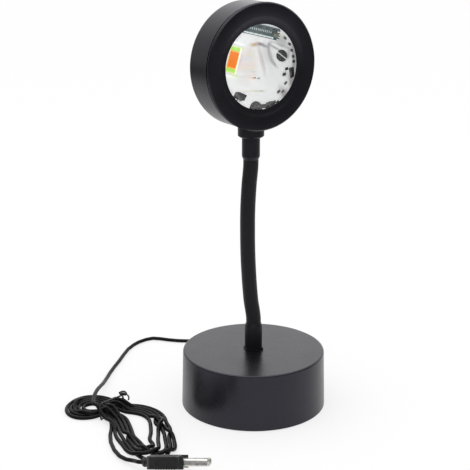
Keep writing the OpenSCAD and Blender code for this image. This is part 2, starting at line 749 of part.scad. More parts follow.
// Small chips and resistors round the board's edge
module board_parts() color([0.15, 0.15, 0.15]) {
    in_head() {
        for (s = chip_spots) translate([board_scale * s[0], board_scale * s[1], board_top]) rotate(s[2])
            translate([-chip_size[0] / 2, -chip_size[1] / 2, 0]) cube(chip_size);
        translate([receiver_at[0], receiver_at[1], board_top]) rotate(receiver_turn)
            translate([-receiver_size[0] / 2, -receiver_size[1] / 2, 0]) cube(receiver_size);
        translate([regulator_at[0], regulator_at[1], board_top]) rotate(regulator_turn)
            translate([-regulator_size[0] / 2, -regulator_size[1] / 2, 0]) cube(regulator_size);
    }
}

module wire_connector() color([0.1, 0.1, 0.1]) {
    in_head()
        translate([connector_at[0] - connector_size[0] / 2, connector_at[1] - connector_size[1] / 2, board_top])
        cube(connector_size);
}

// The wire pair from the neck to the light board's connector
module head_lead() color(cable_black) {
    stud_y = head_stud_top - head_z;
    exit = [connector_at[0] - connector_size[0] / 2, connector_at[1], board_top + connector_size[2] / 2 + 0.1];
    in_head() tube([
        [0, joint_last + wire_gap + 1.1 - head_z, 0], [0, -housing_r - collar_h, 0], [0, stud_y - 4, -0.3],
        [0, stud_y, -0.5], [0.2, stud_y + 1.6, -0.9], [1.4, stud_y + 4, -1.6], [3.6, stud_y + 6.7, -2.6],
        exit + [-6.9, -1.2, 0.6], exit + [-3.9, -0.2, 0], exit - [1.2, 0, 0], exit
    ], wire_d, 8, side = [0, 0, 1]);
}

// Free lead, hank, tail and tie
function loop_inset(t) = t < turns_in ? t : t < turns_in + 0.5 ? turns_in : hank_turns - t;
function axis_heading(u) =
    heading_left + (heading_right - heading_left) * min(1, max(0, (u - bend_from) / (bend_to - bend_from)));
bend_r = (bend_to - bend_from) / ((heading_left - heading_right) * PI / 180);

// Point of the hank's bent middle line, u measured along it from the tie
function bend_point(u) =
    let (h = axis_heading(u), right_of = axis_heading(0))
    bend_r * [cos(h + 90) - cos(right_of + 90), sin(h + 90) - sin(right_of + 90)];
function axis_point(u) =
    let (in_bend = min(bend_to, max(bend_from, u)), rest = u - in_bend, h = axis_heading(u))
    waist + bend_point(in_bend) + rest * [cos(h), sin(h)];

// Half width of a turn at u; s is how many steps it lies inside the outermost turn
function loop_width(u, s, near) =
    let (
        spread = u < 0 ? spread_left : near ? spread_near : spread_far,
        lobe = (u < 0 ? lobe_left : near ? lobe_near : lobe_far) - step_wide * s,
        narrow = exp(-(u / spread) * (u / spread))
    )
    lobe + (waist_half - step_waist * s - lobe) * narrow;

// A turn's point: along the axis, to its far side, up
function hank_local(t) =
    let (
        s = loop_inset(t),
        angle = -waist_angle + 360 * t,
        u = loop_mid + (loop_half - step_long * s) * cos(angle),
        v = sin(angle) * loop_width(u, s, sin(angle) < 0),
        drop = smooth((t - turns_in) / 0.5),
        raised = layer_step * (1 - drop) + landing * (1 - smooth(t / landing_turn)),
        z = layer_low + raised + waist_lift * exp(-(u / waist_run) * (u / waist_run))
    )
    [u, v, z];
function hank_point(t) =
    let (q = hank_local(t), h = axis_heading(q[0]) + 90, p = axis_point(q[0]))
    [p[0] + q[1] * cos(h), p[1] + q[1] * sin(h), q[2]];

hank_dir = flat_dir(axis_heading(0));
hank_rings = [for (i = [0:hank_turns * rings_turn]) hank_point(i / rings_turn)];
hank_in = hank_rings[0] - cord_d * hank_dir;
hank_out = hank_rings[len(hank_rings) - 1] + cord_d * hank_dir;
hank_route = concat([hank_in], hank_rings, [hank_out]);
plug_dir = [cos(plug_yaw) * cos(plug_pitch), sin(plug_yaw) * cos(plug_pitch), -sin(plug_pitch)];
tail_end = plug_at - knob_len * plug_dir;

function route_len(p) =
    [for (i = [1:len(p) - 1]) norm(p[i] - p[i - 1])] * [for (i = [1:len(p) - 1]) 1];

module cord_lead() color(cable_black) {
    route = concat([lead_start], lead_route, [hank_in - cord_d / 2 * hank_dir, hank_in]);
    echo(lead_length = route_len(route));
    tube(route, cord_d, 8);
}

module cord_hank() color(cable_black) {
    // least gap between any two stretches that aren't neighbours along the tube, measured at each half ring
    far = 16;
    last = len(hank_route) - 1;
    halves = concat([for (i = [0:last - 1]) each [hank_route[i], (hank_route[i] + hank_route[i + 1]) / 2]],
        [hank_route[last]]);
    n = len(halves);
    gap = min([for (i = [0:n - 1 - far], j = [i + far:n - 1]) norm(halves[i] - halves[j])]) - cord_d;
    echo(hank_length = route_len(hank_route), hank_gap = gap);
    tube(hank_route, cord_d, 6);
}

module cord_tail() color(cable_black) {
    route = concat([hank_out, hank_out + cord_d / 2 * hank_dir], tail_route, [tail_end - cord_d * plug_dir, tail_end]);
    echo(tail_length = route_len(route));
    tube(route, cord_d, 8);
}

// Twist tie: a band round both layers at the waist, its twist and two loose ends
module cord_tie() color([0.05, 0.05, 0.05]) {
    reach = cord_d / 2 + tie_d / 2 + turn_gap;
    across = waist_angle / 180;
    low_z = reach + tie_d / 2 + 0.05;
    far_low = hank_local(hank_turns - 1 + across)[1] + tie_slack;
    far_top = hank_local(across) + [0, tie_slack, 0];
    near = hank_local(0);
    corners = [[far_low, low_z, -90], [far_top[1], far_top[2], 0], [near[1], near[2], 90], [near[1], low_z, 180]];
    band = [for (c = corners, a = [0:30:90]) [0, c[0] + reach * cos(c[2] + a), c[1] + reach * sin(c[2] + a)]];
    knot_y = far_top[1] - 1;
    knot_z = far_top[2] + reach;
    translate([waist[0], waist[1], 0]) rotate(axis_heading(0)) {
        ring_tube(band, tie_d);
        tube([[0, knot_y - 0.4, knot_z + 1.4], [1.2, knot_y + 1.2, knot_z + 1.9], [2.6, knot_y + 2.6, knot_z + 1.3],
            [4, knot_y + 3.8, knot_z + 1.8], [6, knot_y + 3.6, knot_z + 1.2], [9, knot_y + 2.8, knot_z + 0.6]], tie_d, 6);
        tube([[0.2, knot_y + 1.4, knot_z + 2.9], [1.6, knot_y + 3, knot_z + 3.2], [3.2, knot_y + 5, knot_z + 2.5],
            [6, knot_y + 6.2, knot_z + 0.9]], tie_d, 6);
    }
}

// Closed ring of wire through points that lie in the YZ plane
module ring_tube(p, d) {
    n = len(p);
    sides = 6;
    rings = [for (i = [0:n - 1])
        let (t = unit(p[(i + 1) % n] - p[(i + n - 1) % n]), a = [1, 0, 0], b = cross(t, a))
        for (k = [0:sides - 1]) p[i] + d / 2 * (cos(60 * k) * a + sin(60 * k) * b)];
    faces = [for (i = [0:n - 1], k = [0:sides - 1])
        let (a = i * sides + k, b = i * sides + (k + 1) % sides, c = ((i + 1) % n) * sides)
        each [[a, b, c + (k + 1) % sides], [a, c + (k + 1) % sides, c + k]]];
    polyhedron(rings, faces);
}

// Plug
module plug_outline(w, l, nose) {
    polygon([[0, -w / 2 + 2], [2, -w / 2], [l - nose, -w / 2], [l, -w / 2 + 1.6], [l, w / 2 - 1.6],
        [l - nose, w / 2], [2, w / 2], [0, w / 2 - 2]]);
}

module plug_body() color(cable_black) {
    in_plug() difference() {
        union() {
            translate([0, 0, -plug_t / 2]) linear_extrude(plug_t) plug_outline(plug_w, plug_len, 3);
            rotate([0, -90, 0]) cylinder(h = knob_len - 1, d = knob_d);
            translate([1 - knob_len, 0, 0]) rotate([0, -90, 0]) cylinder(h = 1, d1 = knob_d, d2 = knob_d - 1.6);
        }
        for (i = [0:grip_ribs - 1], s = [-1, 1]) translate([grip_from + i * grip_pitch, s * plug_w / 2 - 0.4, -plug_t])
            cube([0.7, 0.8, 2 * plug_t]);
        translate([plug_len - 6, -shell_w / 2 - fit_gap, -shell_t / 2 - fit_gap])
            cube([7, shell_w + 2 * fit_gap, shell_t + 2 * fit_gap]);
        translate([plug_len - notch_len, -shell_w / 2 - fit_gap, -plug_t])
            cube([notch_len + 1, shell_w + 2 * fit_gap, 2 * plug_t]);
    }
}

module plug_shell() color("silver") {
    inner = 2 * shell_sheet;
    in_plug() translate([plug_len - 5.8, 0, 0]) difference() {
        translate([0, -shell_w / 2, -shell_t / 2]) cube([shell_len + 5.8, shell_w, shell_t]);
        translate([shell_sheet, -(shell_w - inner) / 2, -(shell_t - inner) / 2])
            cube([shell_len + 7, shell_w - inner, shell_t - inner]);
        for (y = [-3.6, 1.2], z = [-1, 1]) translate([shell_len - 1.4, y, z > 0 ? 1 : -shell_t])
            cube([2.4, 2.4, shell_t - 1]);
    }
}

// White tongue that carries the contacts, against the shell's lower wall
module plug_tongue() color("white") {
    floor_z = -shell_t / 2 + shell_sheet;
    in_plug() translate([plug_len - 5.8 + shell_sheet, -(shell_w / 2 - shell_sheet - 0.05), floor_z])
        cube([shell_len + 3.8, shell_w - 2 * shell_sheet - 0.1, tongue_t]);
}

module plug_contacts() color("gold") {
    top_z = -shell_t / 2 + shell_sheet + tongue_t;
    in_plug() for (y = [-3.5, -1, 1, 3.5]) translate([plug_len + 2, y - 0.5, top_z])
        cube([abs(y) > 2 ? shell_len - 5 : shell_len - 6.4, 1, 0.15]);
}

base_shell();
bottom_cover();
cover_screws();
bottom_pad();
ballast_weight();
neck_nut();
neck_washer();
strain_relief();
base_lead();
lower_fitting();
lower_ferrule();
for (k = [1:links]) neck_link(k);
for (k = [1:links]) neck_lead(k);
upper_fitting();
upper_ferrule();
head_collar();
head_washer();
head_nut();
head_housing();
bezel_ring();
lens();
lens_gasket();
lens_retainer();
retainer_screws();
light_board();
board_screws();
led_package();
led_phosphor();
control_board();
control_parts();
board_parts();
wire_connector();
head_lead();
cord_lead();
cord_hank();
cord_tail();
cord_tie();
plug_body();
plug_shell();
plug_tongue();
plug_contacts();
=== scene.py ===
from math import acos, atan, ceil, cos, exp, hypot, pi, radians, sin, sqrt

import bmesh
import bpy
import numpy as np
from mathutils import Matrix, Vector


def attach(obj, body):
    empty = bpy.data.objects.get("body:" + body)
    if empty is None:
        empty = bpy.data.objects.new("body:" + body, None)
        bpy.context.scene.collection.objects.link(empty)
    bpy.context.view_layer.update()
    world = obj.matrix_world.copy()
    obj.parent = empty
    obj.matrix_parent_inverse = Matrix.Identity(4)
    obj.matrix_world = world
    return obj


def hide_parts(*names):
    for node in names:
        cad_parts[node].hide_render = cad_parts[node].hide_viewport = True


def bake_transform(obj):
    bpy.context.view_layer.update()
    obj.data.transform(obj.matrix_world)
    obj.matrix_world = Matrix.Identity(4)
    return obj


# Sunset projection lamp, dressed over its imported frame. Sizes are in millimetres and scaled by mm.
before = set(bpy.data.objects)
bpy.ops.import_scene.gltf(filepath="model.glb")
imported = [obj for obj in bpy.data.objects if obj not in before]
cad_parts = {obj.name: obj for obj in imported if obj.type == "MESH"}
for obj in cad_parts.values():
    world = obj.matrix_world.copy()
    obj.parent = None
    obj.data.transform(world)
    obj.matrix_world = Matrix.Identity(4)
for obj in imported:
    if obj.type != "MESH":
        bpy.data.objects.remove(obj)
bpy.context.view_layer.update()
mm = 0.001
link = bpy.context.scene.collection.objects.link
print("frame loaded")


# sRGB hex to the linear colour that a socket takes
def linear(hexColour):
    parts = [int(hexColour[i:i + 2], 16) / 255 for i in (1, 3, 5)]
    return [c / 12.92 if c <= 0.04045 else ((c + 0.055) / 1.055) ** 2.4 for c in parts] + [1]


# adds a node, a shader node unless its kind says otherwise. An input is given by name or number, as a value or
# as the socket or node that feeds it, and a node feeds it from its first output
def put(tree, kind, inputs=(), **settings):
    added = tree.nodes.new(kind if "Node" in kind else "ShaderNode" + kind)
    for name, value in settings.items():
        setattr(added, name, value)
    for name, value in dict(inputs).items():
        if isinstance(value, bpy.types.Node):
            value = value.outputs[0]
        if isinstance(value, bpy.types.NodeSocket):
            tree.links.new(value, added.inputs[name])
        else:
            added.inputs[name].default_value = value
    return added


def emptyMaterial(name):
    material = bpy.data.materials.new(name)
    material.use_nodes = True
    material.node_tree.nodes.clear()
    return material, material.node_tree


# mesh object at the origin, its place in its mesh; sharp edges above the angle stay sharp
def makePiece(name, points, faces, material, place=Matrix.Scale(mm, 4), sharp=35):
    mesh = bpy.data.meshes.new(name)
    mesh.from_pydata([tuple(p) for p in points], [], faces)
    mesh.transform(place)
    return finishMesh(bpy.data.objects.new(name, mesh), material, sharp)


def finishMesh(piece, material, sharp=35):
    if piece.name not in bpy.context.scene.collection.objects:
        link(piece)
    work = bmesh.new()
    work.from_mesh(piece.data)
    bmesh.ops.remove_doubles(work, verts=work.verts, dist=1e-7)
    bmesh.ops.recalc_face_normals(work, faces=work.faces)
    work.to_mesh(piece.data)
    work.free()
    piece.data.shade_smooth()
    piece.data.set_sharp_from_angle(angle=radians(sharp))
    if material:
        piece.data.materials.clear()
        piece.data.materials.append(material)
    return piece


# rides a piece on a body, in the place of its solids
def fitPiece(piece, body, slotName, *solids):
    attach(piece, body)
    if solids:
        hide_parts(*solids)


# points along a smooth curve through the given ones, by Catmull-Rom
def smoothPath(points, parts, closed=False):
    p = np.asarray(points, float)
    ends = (p[-1:], p[:2]) if closed else (2 * p[:1] - p[1:2], 2 * p[-1:] - p[-2:-1])
    p = np.vstack([ends[0], p, ends[1]])
    t = np.linspace(0, 1, parts, endpoint=False)[None, :, None]
    a, b, c, d = (p[i:len(p) - 3 + i, None] for i in range(4))
    curve = 0.5 * (2 * b + (c - a) * t + (2 * a - 5 * b + 4 * c - d) * t ** 2
                   + (3 * b - a - 3 * c + d) * t ** 3)
    curve = curve.reshape(-1, 3)
    return curve if closed else np.vstack([curve, p[-2:-1]])


# round tube along points, closed on itself or capped with small domes
def tubeShape(points, radius, sides=10, closed=False):
    p = np.asarray(points, float)
    ahead = np.roll(p, -1, 0) - np.roll(p, 1, 0)
    if not closed:
        ahead[0], ahead[-1] = p[1] - p[0], p[-1] - p[-2]
    ahead /= np.linalg.norm(ahead, axis=1)[:, None]
    side = np.cross(ahead[0], (0, 0, 1) if abs(ahead[0][2]) < 0.9 else (1, 0, 0))
    rings = []
    turn = 2 * pi * np.arange(sides) / sides
    cosine, sine = np.cos(turn)[:, None], np.sin(turn)[:, None]
    for centre, t in zip(p, ahead):
        side = side - t * side.dot(t)
        side /= np.linalg.norm(side)
        rings.append(centre + radius * (cosine * side + sine * np.cross(t, side)))
    if not closed:
        first = [p[0] + (r - p[0]) * 0.6 - ahead[0] * radius * 0.3 for r in rings[:1]]
        last = [p[-1] + (r - p[-1]) * 0.6 + ahead[-1] * radius * 0.3 for r in rings[-1:]]
        rings = first + rings + last
    count = len(rings)
    faces = []
    for i in range(count if closed else count - 1):
        for k in range(sides):
            j, n = (i + 1) % count, (k + 1) % sides
            faces.append((i * sides + k, i * sides + n, j * sides + n, j * sides + k))
    if not closed:
        faces += [tuple(range(sides)), tuple(range((count - 1) * sides, count * sides))]
    return np.vstack(rings), faces


# closed solid of revolution about local Z from a closed outline of (radius, height)
def turnedShape(outline, sides=160):
    points, faces = [], []
    count = len(outline)
    for k in range(sides):
        a = 2 * pi * k / sides
        points += [(r * cos(a), r * sin(a), z) for r, z in outline]
    for k in range(sides):
        n = (k + 1) % sides
        for i in range(count):
            j = (i + 1) % count
            if outline[i][0] > 1e-9 or outline[j][0] > 1e-9:
                faces.append((k * count + i, k * count + j, n * count + j, n * count + i))
    return points, faces


# the camera stands where the photo was taken from
camera = {"focal": 1200, "picture": 470, "at": (0, -793.4, 364.9), "down": 16.85, "roll": 0.944}
cameraData = bpy.data.cameras.new("camera")
cameraData.sensor_width = 36
cameraData.lens = camera["focal"] / camera["picture"] * cameraData.sensor_width
cameraData.clip_start = 0.01
cameraObject = bpy.data.objects.new("camera", cameraData)
cameraObject.location = Vector(camera["at"]) * mm
cameraObject.rotation_euler = (radians(90 - camera["down"]), 0, radians(camera["roll"]))
link(cameraObject)
bpy.context.scene.camera = cameraObject
print("camera set")

# cord: the lead behind the base and the tail, on the route of the solids, and the hank between them
cord = {"diameter": 2.8, "turns": 5, "perTurn": 96, "spacing": 2.2, "floor": 1.45, "tightest": 9.5,
        "exit": (0, 61.8, 8), "joinStraight": 1.4, "looseLeft": 0.6, "settleSteps": 260, "lastEase": 1,
        "sink": 0.03, "ease": 0.4, "clearance": 1.04, "push": 0.7, "pull": 0.25, "reach": 2.2, "pinned": 3,
        "searchEvery": 5, "ownReach": 1.9}
leadRoute = [
    (0, 63.8, 8), (0, 67, 7.8), (0, 72, 6.8), (-1, 78, 4.6), (-3, 84, 2.6), (-6, 90, 1.7), (-11, 96, 1.5),
    (-18, 101, 1.5), (-26, 105, 1.5), (-34, 108, 1.5), (-43, 109.5, 1.5), (-52, 110, 1.5),
    (-61, 110.5, 1.5), (-69, 112.3, 1.5), (-76, 114.6, 1.5), (-82, 115.5, 1.5), (-87.5, 112.3, 1.5),
    (-92.5, 107, 1.5), (-96, 101, 1.5), (-99.5, 92, 1.5), (-102, 80, 1.5), (-104, 68, 1.5),
    (-106.5, 56, 1.5), (-108.5, 44, 1.6), (-109.5, 33, 2.3), (-110, 24, 3.6), (-110.3, 16, 5.2),
    (-110.8, 9, 6.8), (-111.3, 2, 8.3), (-112, -6, 9.5), (-112.3, -14, 10.1), (-112.2, -21, 10.1),
    (-111.8, -26, 10), (-110.6, -29, 9.9)]
tailRoute = [
    (-99.9, -36.2, 2.6), (-98.1, -39.4, 2), (-97.1, -44, 1.6), (-96.4, -51, 1.5), (-96.2, -60, 1.5),
    (-94.6, -70.5, 1.5), (-91, -82, 1.6), (-86.5, -91, 1.9), (-81.5, -97.3, 2.8), (-76, -101.8, 4.2)]
hank = {"waist": (-99, -22), "headingLeft": -16, "headingRight": -70, "bendFrom": -8, "bendTo": 28,
        "loopMid": 26, "loopHalf": 61, "stepLong": 5, "lobeLeft": 33.6, "lobeFar": 23.4, "lobeNear": 18,
        "stepWide": 5.2, "waistHalf": 13.4, "stepWaist": 5.4, "spreadLeft": 15.5, "spreadFar": 10.5,
        "spreadNear": 26, "layerStep": 3.45, "layerLow": 1.5, "landing": 3.4, "landingTurn": 0.08,
        "waistLift": 1.5, "waistRun": 12, "looseRun": 30}
# how the hand-wound turns stray from the neat winding: a row for each turn, and in it for each place how much
# the loop is longer at the tips, pushed across the middle line and raised
strayAt = (0.16, 0.32, 0.48, 0.62, 0.82)
strays = [((0, -1, 4), (-7, -4, 5.5), (-3, -10, 5), (0, -1, 0), (4, 4, 0)),
          ((0, 3, 2), (2, 5, 3), (0, 5, 2.5), (0, 0, 0), (-4, -4, 0)),
          ((0, -4, 0), (0, -6, 0), (0, -6, 0), (0, 0, 0), (4, 3, 0)),
          ((0, 2, 0), (0, 3, 0), (0, 2, 0), (0, 0, 0), (-3, -3, 0)),
          ((0, -1, 0), (2, -2, 0), (0, -2, 0), (0, 0, 0), (2, 2, 0))]
plug = {"at": (-65.8, -108.5, 6.9), "yaw": -9, "pitch": -5, "roll": -22, "knob": 4, "knobD": 6.6,
        "length": 24, "width": 16, "thick": 8, "shellWidth": 12, "shellThick": 4.5, "shellOut": 15.2,
        "shellIn": 5.8, "sheet": 0.3}
plugTurn = (Matrix.Rotation(radians(plug["yaw"]), 4, "Z") @ Matrix.Rotation(radians(plug["pitch"]), 4, "Y")
            @ Matrix.Rotation(radians(plug["roll"]), 4, "X"))
plugPlace = Matrix.Scale(mm, 4) @ Matrix.Translation(plug["at"]) @ plugTurn


def eased(x):
    x = min(1, max(0, x))
    return x * x * (3 - 2 * x)


def hankHeading(u):
    share = min(1, max(0, (u - hank["bendFrom"]) / (hank["bendTo"] - hank["bendFrom"])))
    return radians(hank["headingLeft"] + (hank["headingRight"] - hank["headingLeft"]) * share)


# the wound turns: x, y, z and the distance u along the hank from its tie
def windHank():
    h, turns = hank, cord["turns"]
    turnsIn = (turns - 0.5) / 2
    waistAngle = acos(-h["loopMid"] / h["loopHalf"])
    bendR = (h["bendTo"] - h["bendFrom"]) / radians(h["headingLeft"] - h["headingRight"])
    atTie = hankHeading(0) + pi / 2
    keys, moves = [0], [(0, 0, 0)]
    for turn, row in enumerate(strays):
        keys += [turn + at for at in strayAt] + [turn + 1]
        moves += [*row, (0, 0, 0)]
    longer, pushed, raised = zip(*moves)
    points = []
    for i in range(turns * cord["perTurn"] + 1):
        t = i / cord["perTurn"]
        inset = t if t < turnsIn else turnsIn if t < turnsIn + 0.5 else turns - t
        angle = -waistAngle + 2 * pi * t
        u = h["loopMid"] + (h["loopHalf"] - h["stepLong"] * inset) * cos(angle)
        near = sin(angle) < 0
        spread = h["spreadLeft"] if u < 0 else h["spreadNear"] if near else h["spreadFar"]
        lobe = (h["lobeLeft"] if u < 0 else h["lobeNear"] if near else h["lobeFar"]) - h["stepWide"] * inset
        narrow = exp(-(u / spread) ** 2)
        v = sin(angle) * (lobe + (h["waistHalf"] - h["stepWaist"] * inset - lobe) * narrow)
        loose = (1 - exp(-(u / h["looseRun"]) ** 2)) * (1 if u > 0 else cord["looseLeft"])
        v += np.interp(t, keys, pushed) * loose
        u += np.interp(t, keys, longer) * loose * abs(cos(angle))
        z = h["layerLow"] + h["layerStep"] * (1 - eased((t - turnsIn) / 0.5))
        z += np.interp(t, keys, raised) * loose
        z += (h["landing"] * (1 - eased(t / h["landingTurn"]))
              + h["waistLift"] * exp(-(u / h["waistRun"]) ** 2))
        inBend = min(h["bendTo"], max(h["bendFrom"], u))
        a, b, rest = hankHeading(u), hankHeading(inBend) + pi / 2, u - inBend
        x = h["waist"][0] + bendR * (cos(b) - cos(atTie)) + rest * cos(a)
        y = h["waist"][1] + bendR * (sin(b) - sin(atTie)) + rest * sin(a)
        points.append((x - v * sin(a), y + v * cos(a), z, u))
    return np.array(points)


def evenly(points, step):
    along = np.r_[0, np.cumsum(np.linalg.norm(np.diff(points[:, :3], axis=0), axis=1))]
    at = np.linspace(0, along[-1], int(round(along[-1] / step)) + 1)
    return np.stack([np.interp(at, along, points[:, k]) for k in range(points.shape[1])], axis=1), at


# lets the loose cord sink, push itself apart and ease its bends, at its own length
def settleCord(p, held):
    d, limit = cord["diameter"], cord["spacing"] ** 2 / cord["tightest"]
    rest = np.linalg.norm(np.diff(p, axis=0), axis=1)[:, None]
    apart = int(ceil(d * cord["ownReach"] / rest.mean()))
    clear = d * cord["clearance"]
    free = (~held).astype(float)[:, None]
    for step in range(cord["settleSteps"]):
        if step % cord["searchEvery"] == 0:
            near = ((p[:, None] - p[None]) ** 2).sum(2) < (cord["reach"] * d) ** 2
            i, j = np.nonzero(near)
            i, j = i[j - i > apart], j[j - i > apart]
        p[:, 2] -= cord["sink"] * free[:, 0]
        stiff = np.zeros_like(p)
        stiff[2:-2] = (4 * (p[1:-3] + p[3:-1]) - (p[:-4] + p[4:])) / 6 - p[2:-2]
        p += free * cord["ease"] * stiff
        bend = p[:-2] + p[2:] - 2 * p[1:-1]
        size = np.linalg.norm(bend, axis=1)[:, None]
        p[1:-1] += free[1:-1] * cord["ease"] * bend * np.maximum(0, 1 - limit / np.maximum(size, 1e-9))
        for _ in range(4):
            between = p[i] - p[j]
            gap = np.linalg.norm(between, axis=1)
            hit = gap < clear
            push = between[hit] * ((clear - gap[hit]) / gap[hit])[:, None]
            move, count = np.zeros_like(p), np.ones(len(p))
            np.add.at(move, i[hit], push)
            np.add.at(move, j[hit], -push)
            np.add.at(count, i[hit], 1)
            np.add.at(count, j[hit], 1)
            p += free * cord["push"] * move / count[:, None]
        p[:, 2] = np.where(held, p[:, 2], np.maximum(p[:, 2], cord["floor"]))
        for _ in range(2):
            part = p[1:] - p[:-1]
            fix = cord["pull"] * part * (1 - rest / np.linalg.norm(part, axis=1)[:, None])
            p[:-1] += free[:-1] * fix
            p[1:] -= free[1:] * fix
    for _ in range(cord["lastEase"]):
        p[1:-1] += free[1:-1] * cord["pull"] * (p[:-2] + p[2:] - 2 * p[1:-1])
    return p


def cordPath():
    wound = windHank()
    ahead = np.array([cos(hankHeading(0)), sin(hankHeading(0)), 0])
    toTip = np.array(plugTurn @ Vector((1, 0, 0)))
    tailEnd = np.array(plug["at"]) - plug["knob"] * toTip
    hankIn, hankOut = (wound[k, :3] + s * cord["diameter"] * ahead for k, s in ((0, -1), (-1, 1)))
    straight = cord["joinStraight"] * ahead
    lead = np.array([cord["exit"], *leadRoute, hankIn - straight, hankIn])
    tail = np.array([hankOut, hankOut + straight, *tailRoute, tailEnd - cord["diameter"] * toTip, tailEnd])
    route = np.vstack([np.c_[lead, np.full(len(lead), 999)], wound, np.c_[tail, np.full(len(tail), 999)]])
    even, at = evenly(route, cord["spacing"])
    along = np.r_[0, np.cumsum(np.linalg.norm(np.diff(route[:, :3], axis=0), axis=1))]
    held = ((at < along[len(lead) - 1]) | (at > along[len(lead) + len(wound) - 1])
            | (np.abs(even[:, 3]) < cord["pinned"]))
    settled = settleCord(even[:, :3].copy(), held)
    return smoothPath(settled, 2)


cordPoints = cordPath()
cordData = bpy.data.curves.new("usb_cord", "CURVE")
cordData.dimensions = "3D"
cordData.bevel_depth = cord["diameter"] / 2 * mm
cordData.bevel_resolution = 3
cordData.use_fill_caps = True
spline = cordData.splines.new("POLY")
spline.points.add(len(cordPoints) - 1)
spline.points.foreach_set("co", np.c_[cordPoints * mm, np.ones(len(cordPoints))].ravel())
spline.use_smooth = True
usbCord = bpy.data.objects.new("usb_cord", cordData)
link(usbCord)
cordLength = np.linalg.norm(np.diff(cordPoints, axis=0), axis=1).sum()
print("cord laid,", round(cordLength), "mm")


# a sprayed, moulded or machined surface: two close colours in soft patches, uneven gloss and a fine grain
def surface(name, **s):
    material, tree = emptyMaterial(name)
    coords = put(tree, "TexCoord").outputs["Object"]
    stretched = put(tree, "Mapping", {"Vector": coords, "Scale": s.get("stretch", (1, 1, 1))})
    patches = put(tree, "TexNoise", {"Vector": coords, "Scale": 1 / (s["patch"] * mm), "Detail": 4})
    share = put(tree, "MapRange", {"Value": patches, "From Min": 0.3, "From Max": 0.7})
    colour = put(
        tree, "Mix", {0: share, 6: linear(s["colours"][0]), 7: linear(s["colours"][1])}, data_type="RGBA")
    grain = put(
        tree, "TexNoise", {"Vector": stretched, "Scale": 1 / (s["grain"] * mm), "Detail": s.get("detail", 2)})
    gloss = put(tree, "Math", {0: patches, 1: grain}, operation="MULTIPLY")
    rough = put(
        tree, "MapRange",
        {"Value": gloss, "From Min": 0.1, "From Max": 0.4, "To Min": s["rough"][0], "To Max": s["rough"][1]})
    bump = put(tree, "Bump", {"Height": grain, "Distance": s["depth"] * mm})
    shader = put(
        tree, "BsdfPrincipled",
        {
            "Base Color": colour.outputs[2], "Roughness": rough, "Normal": bump,
            "Metallic": s.get("metallic", 0), "IOR": s.get("ior", 1.5), **s.get("more", {})})
    put(tree, "OutputMaterial", {"Surface": shader})
    return material


# black polyester powder coat on spun steel: satin, with a fine orange peel
powderCoat = surface(
    "powder_coat_black", colours=("#0a0a0d", "#101014"), patch=22, grain=1.1, depth=0.012, rough=(0.25, 0.35),
    more={"Specular Tint": (0.84, 0.83, 1, 1)})
# the same coat, thinner, on the turned ferrules and the collar
fittingCoat = surface(
    "fitting_coat_black", colours=("#09090b", "#0f0f12"), patch=6, grain=0.7, depth=0.01, rough=(0.34, 0.46),
    more={"Specular IOR Level": 0.4, "Specular Tint": (0.86, 0.85, 1, 1)})
# extruded PVC sleeve: matt, with faint lines drawn along it
neckSleeve = surface(
    "neck_sleeve_pvc", colours=("#0c0c0e", "#131316"), patch=4, grain=0.8, stretch=(1, 1, 0.04), depth=0.05,
    detail=4, rough=(0.42, 0.56), more={"Specular IOR Level": 0.32, "Specular Tint": (0.88, 0.87, 1, 1)})
# cable PVC: satin, slightly greasy, faintly dented where it was wound
cablePvc = surface(
    "cable_pvc_black", colours=("#070708", "#0e0e10"), patch=5, grain=1.6, depth=0.03, rough=(0.34, 0.46),
    more={"Specular IOR Level": 0.12})
# the plug's moulded PVC, spark-textured
plugPvc = surface(
    "plug_pvc_black", colours=("#101012", "#18181b"), patch=4, grain=0.35, depth=0.02, rough=(0.36, 0.5))
# black plastic over soft wire
tiePlastic = surface(
    "tie_plastic_black", colours=("#0c0c0c", "#1a1a1a"), patch=2, grain=0.5, depth=0.03, rough=(0.3, 0.45))
# EVA foam: matt, closed cells that show as a fine pebble
footFoam = surface(
    "foot_foam_eva", colours=("#161616", "#222222"), patch=6, grain=0.5, depth=0.12, rough=(0.75, 0.95))
# injection-moulded ABS with a spark-eroded texture
coverAbs = surface(
    "cover_abs_black", colours=("#161617", "#1e1e1f"), patch=15, grain=0.4, depth=0.03, rough=(0.45, 0.6))
# raw sand-cast iron: dull grey with a coarse skin
castIron = surface(
    "ballast_cast_iron", colours=("#4a4a4b", "#6a6866"), patch=9, grain=0.9, depth=0.2, rough=(0.5, 0.7),
    metallic=1)
# turned brass: fine tool rings round the neck's axis
turnedBrass = surface(
    "turned_brass", colours=("#b5965a", "#cdb173"), patch=5, grain=0.9, stretch=(0.15, 0.15, 4), depth=0.02,
    rough=(0.2, 0.34), metallic=1)
# zinc-plated steel: bright, slightly cloudy
zincSteel = surface(
    "zinc_plated_steel", colours=("#8f9091", "#b9babb"), patch=2, grain=0.4, depth=0.01, rough=(0.22, 0.38),
    metallic=1)
# bright nickel over drawn sheet: lines along the shell and a few cloudy spots
nickelPlate = surface(
    "nickel_plate", colours=("#d4d2cd", "#e9e7e2"), patch=2.5, grain=0.35, stretch=(0.1, 1, 1), depth=0.003,
    rough=(0.24, 0.38), metallic=1)
# silicone rubber: matt black
blackSilicone = surface(
    "gasket_silicone_black", colours=("#131313", "#1c1c1c"), patch=5, grain=0.6, depth=0.02,
    rough=(0.55, 0.7))
# plain ABS moulding inside the head: dull
innerAbs = surface(
    "inner_abs_black", colours=("#141415", "#1c1c1d"), patch=9, grain=0.5, depth=0.03, rough=(0.5, 0.65))
# moulded epoxy of the small packages: dull, slightly grainy
blackEpoxy = surface(
    "epoxy_black", colours=("#141415", "#262628"), patch=1.2, grain=0.3, depth=0.01, rough=(0.35, 0.5))
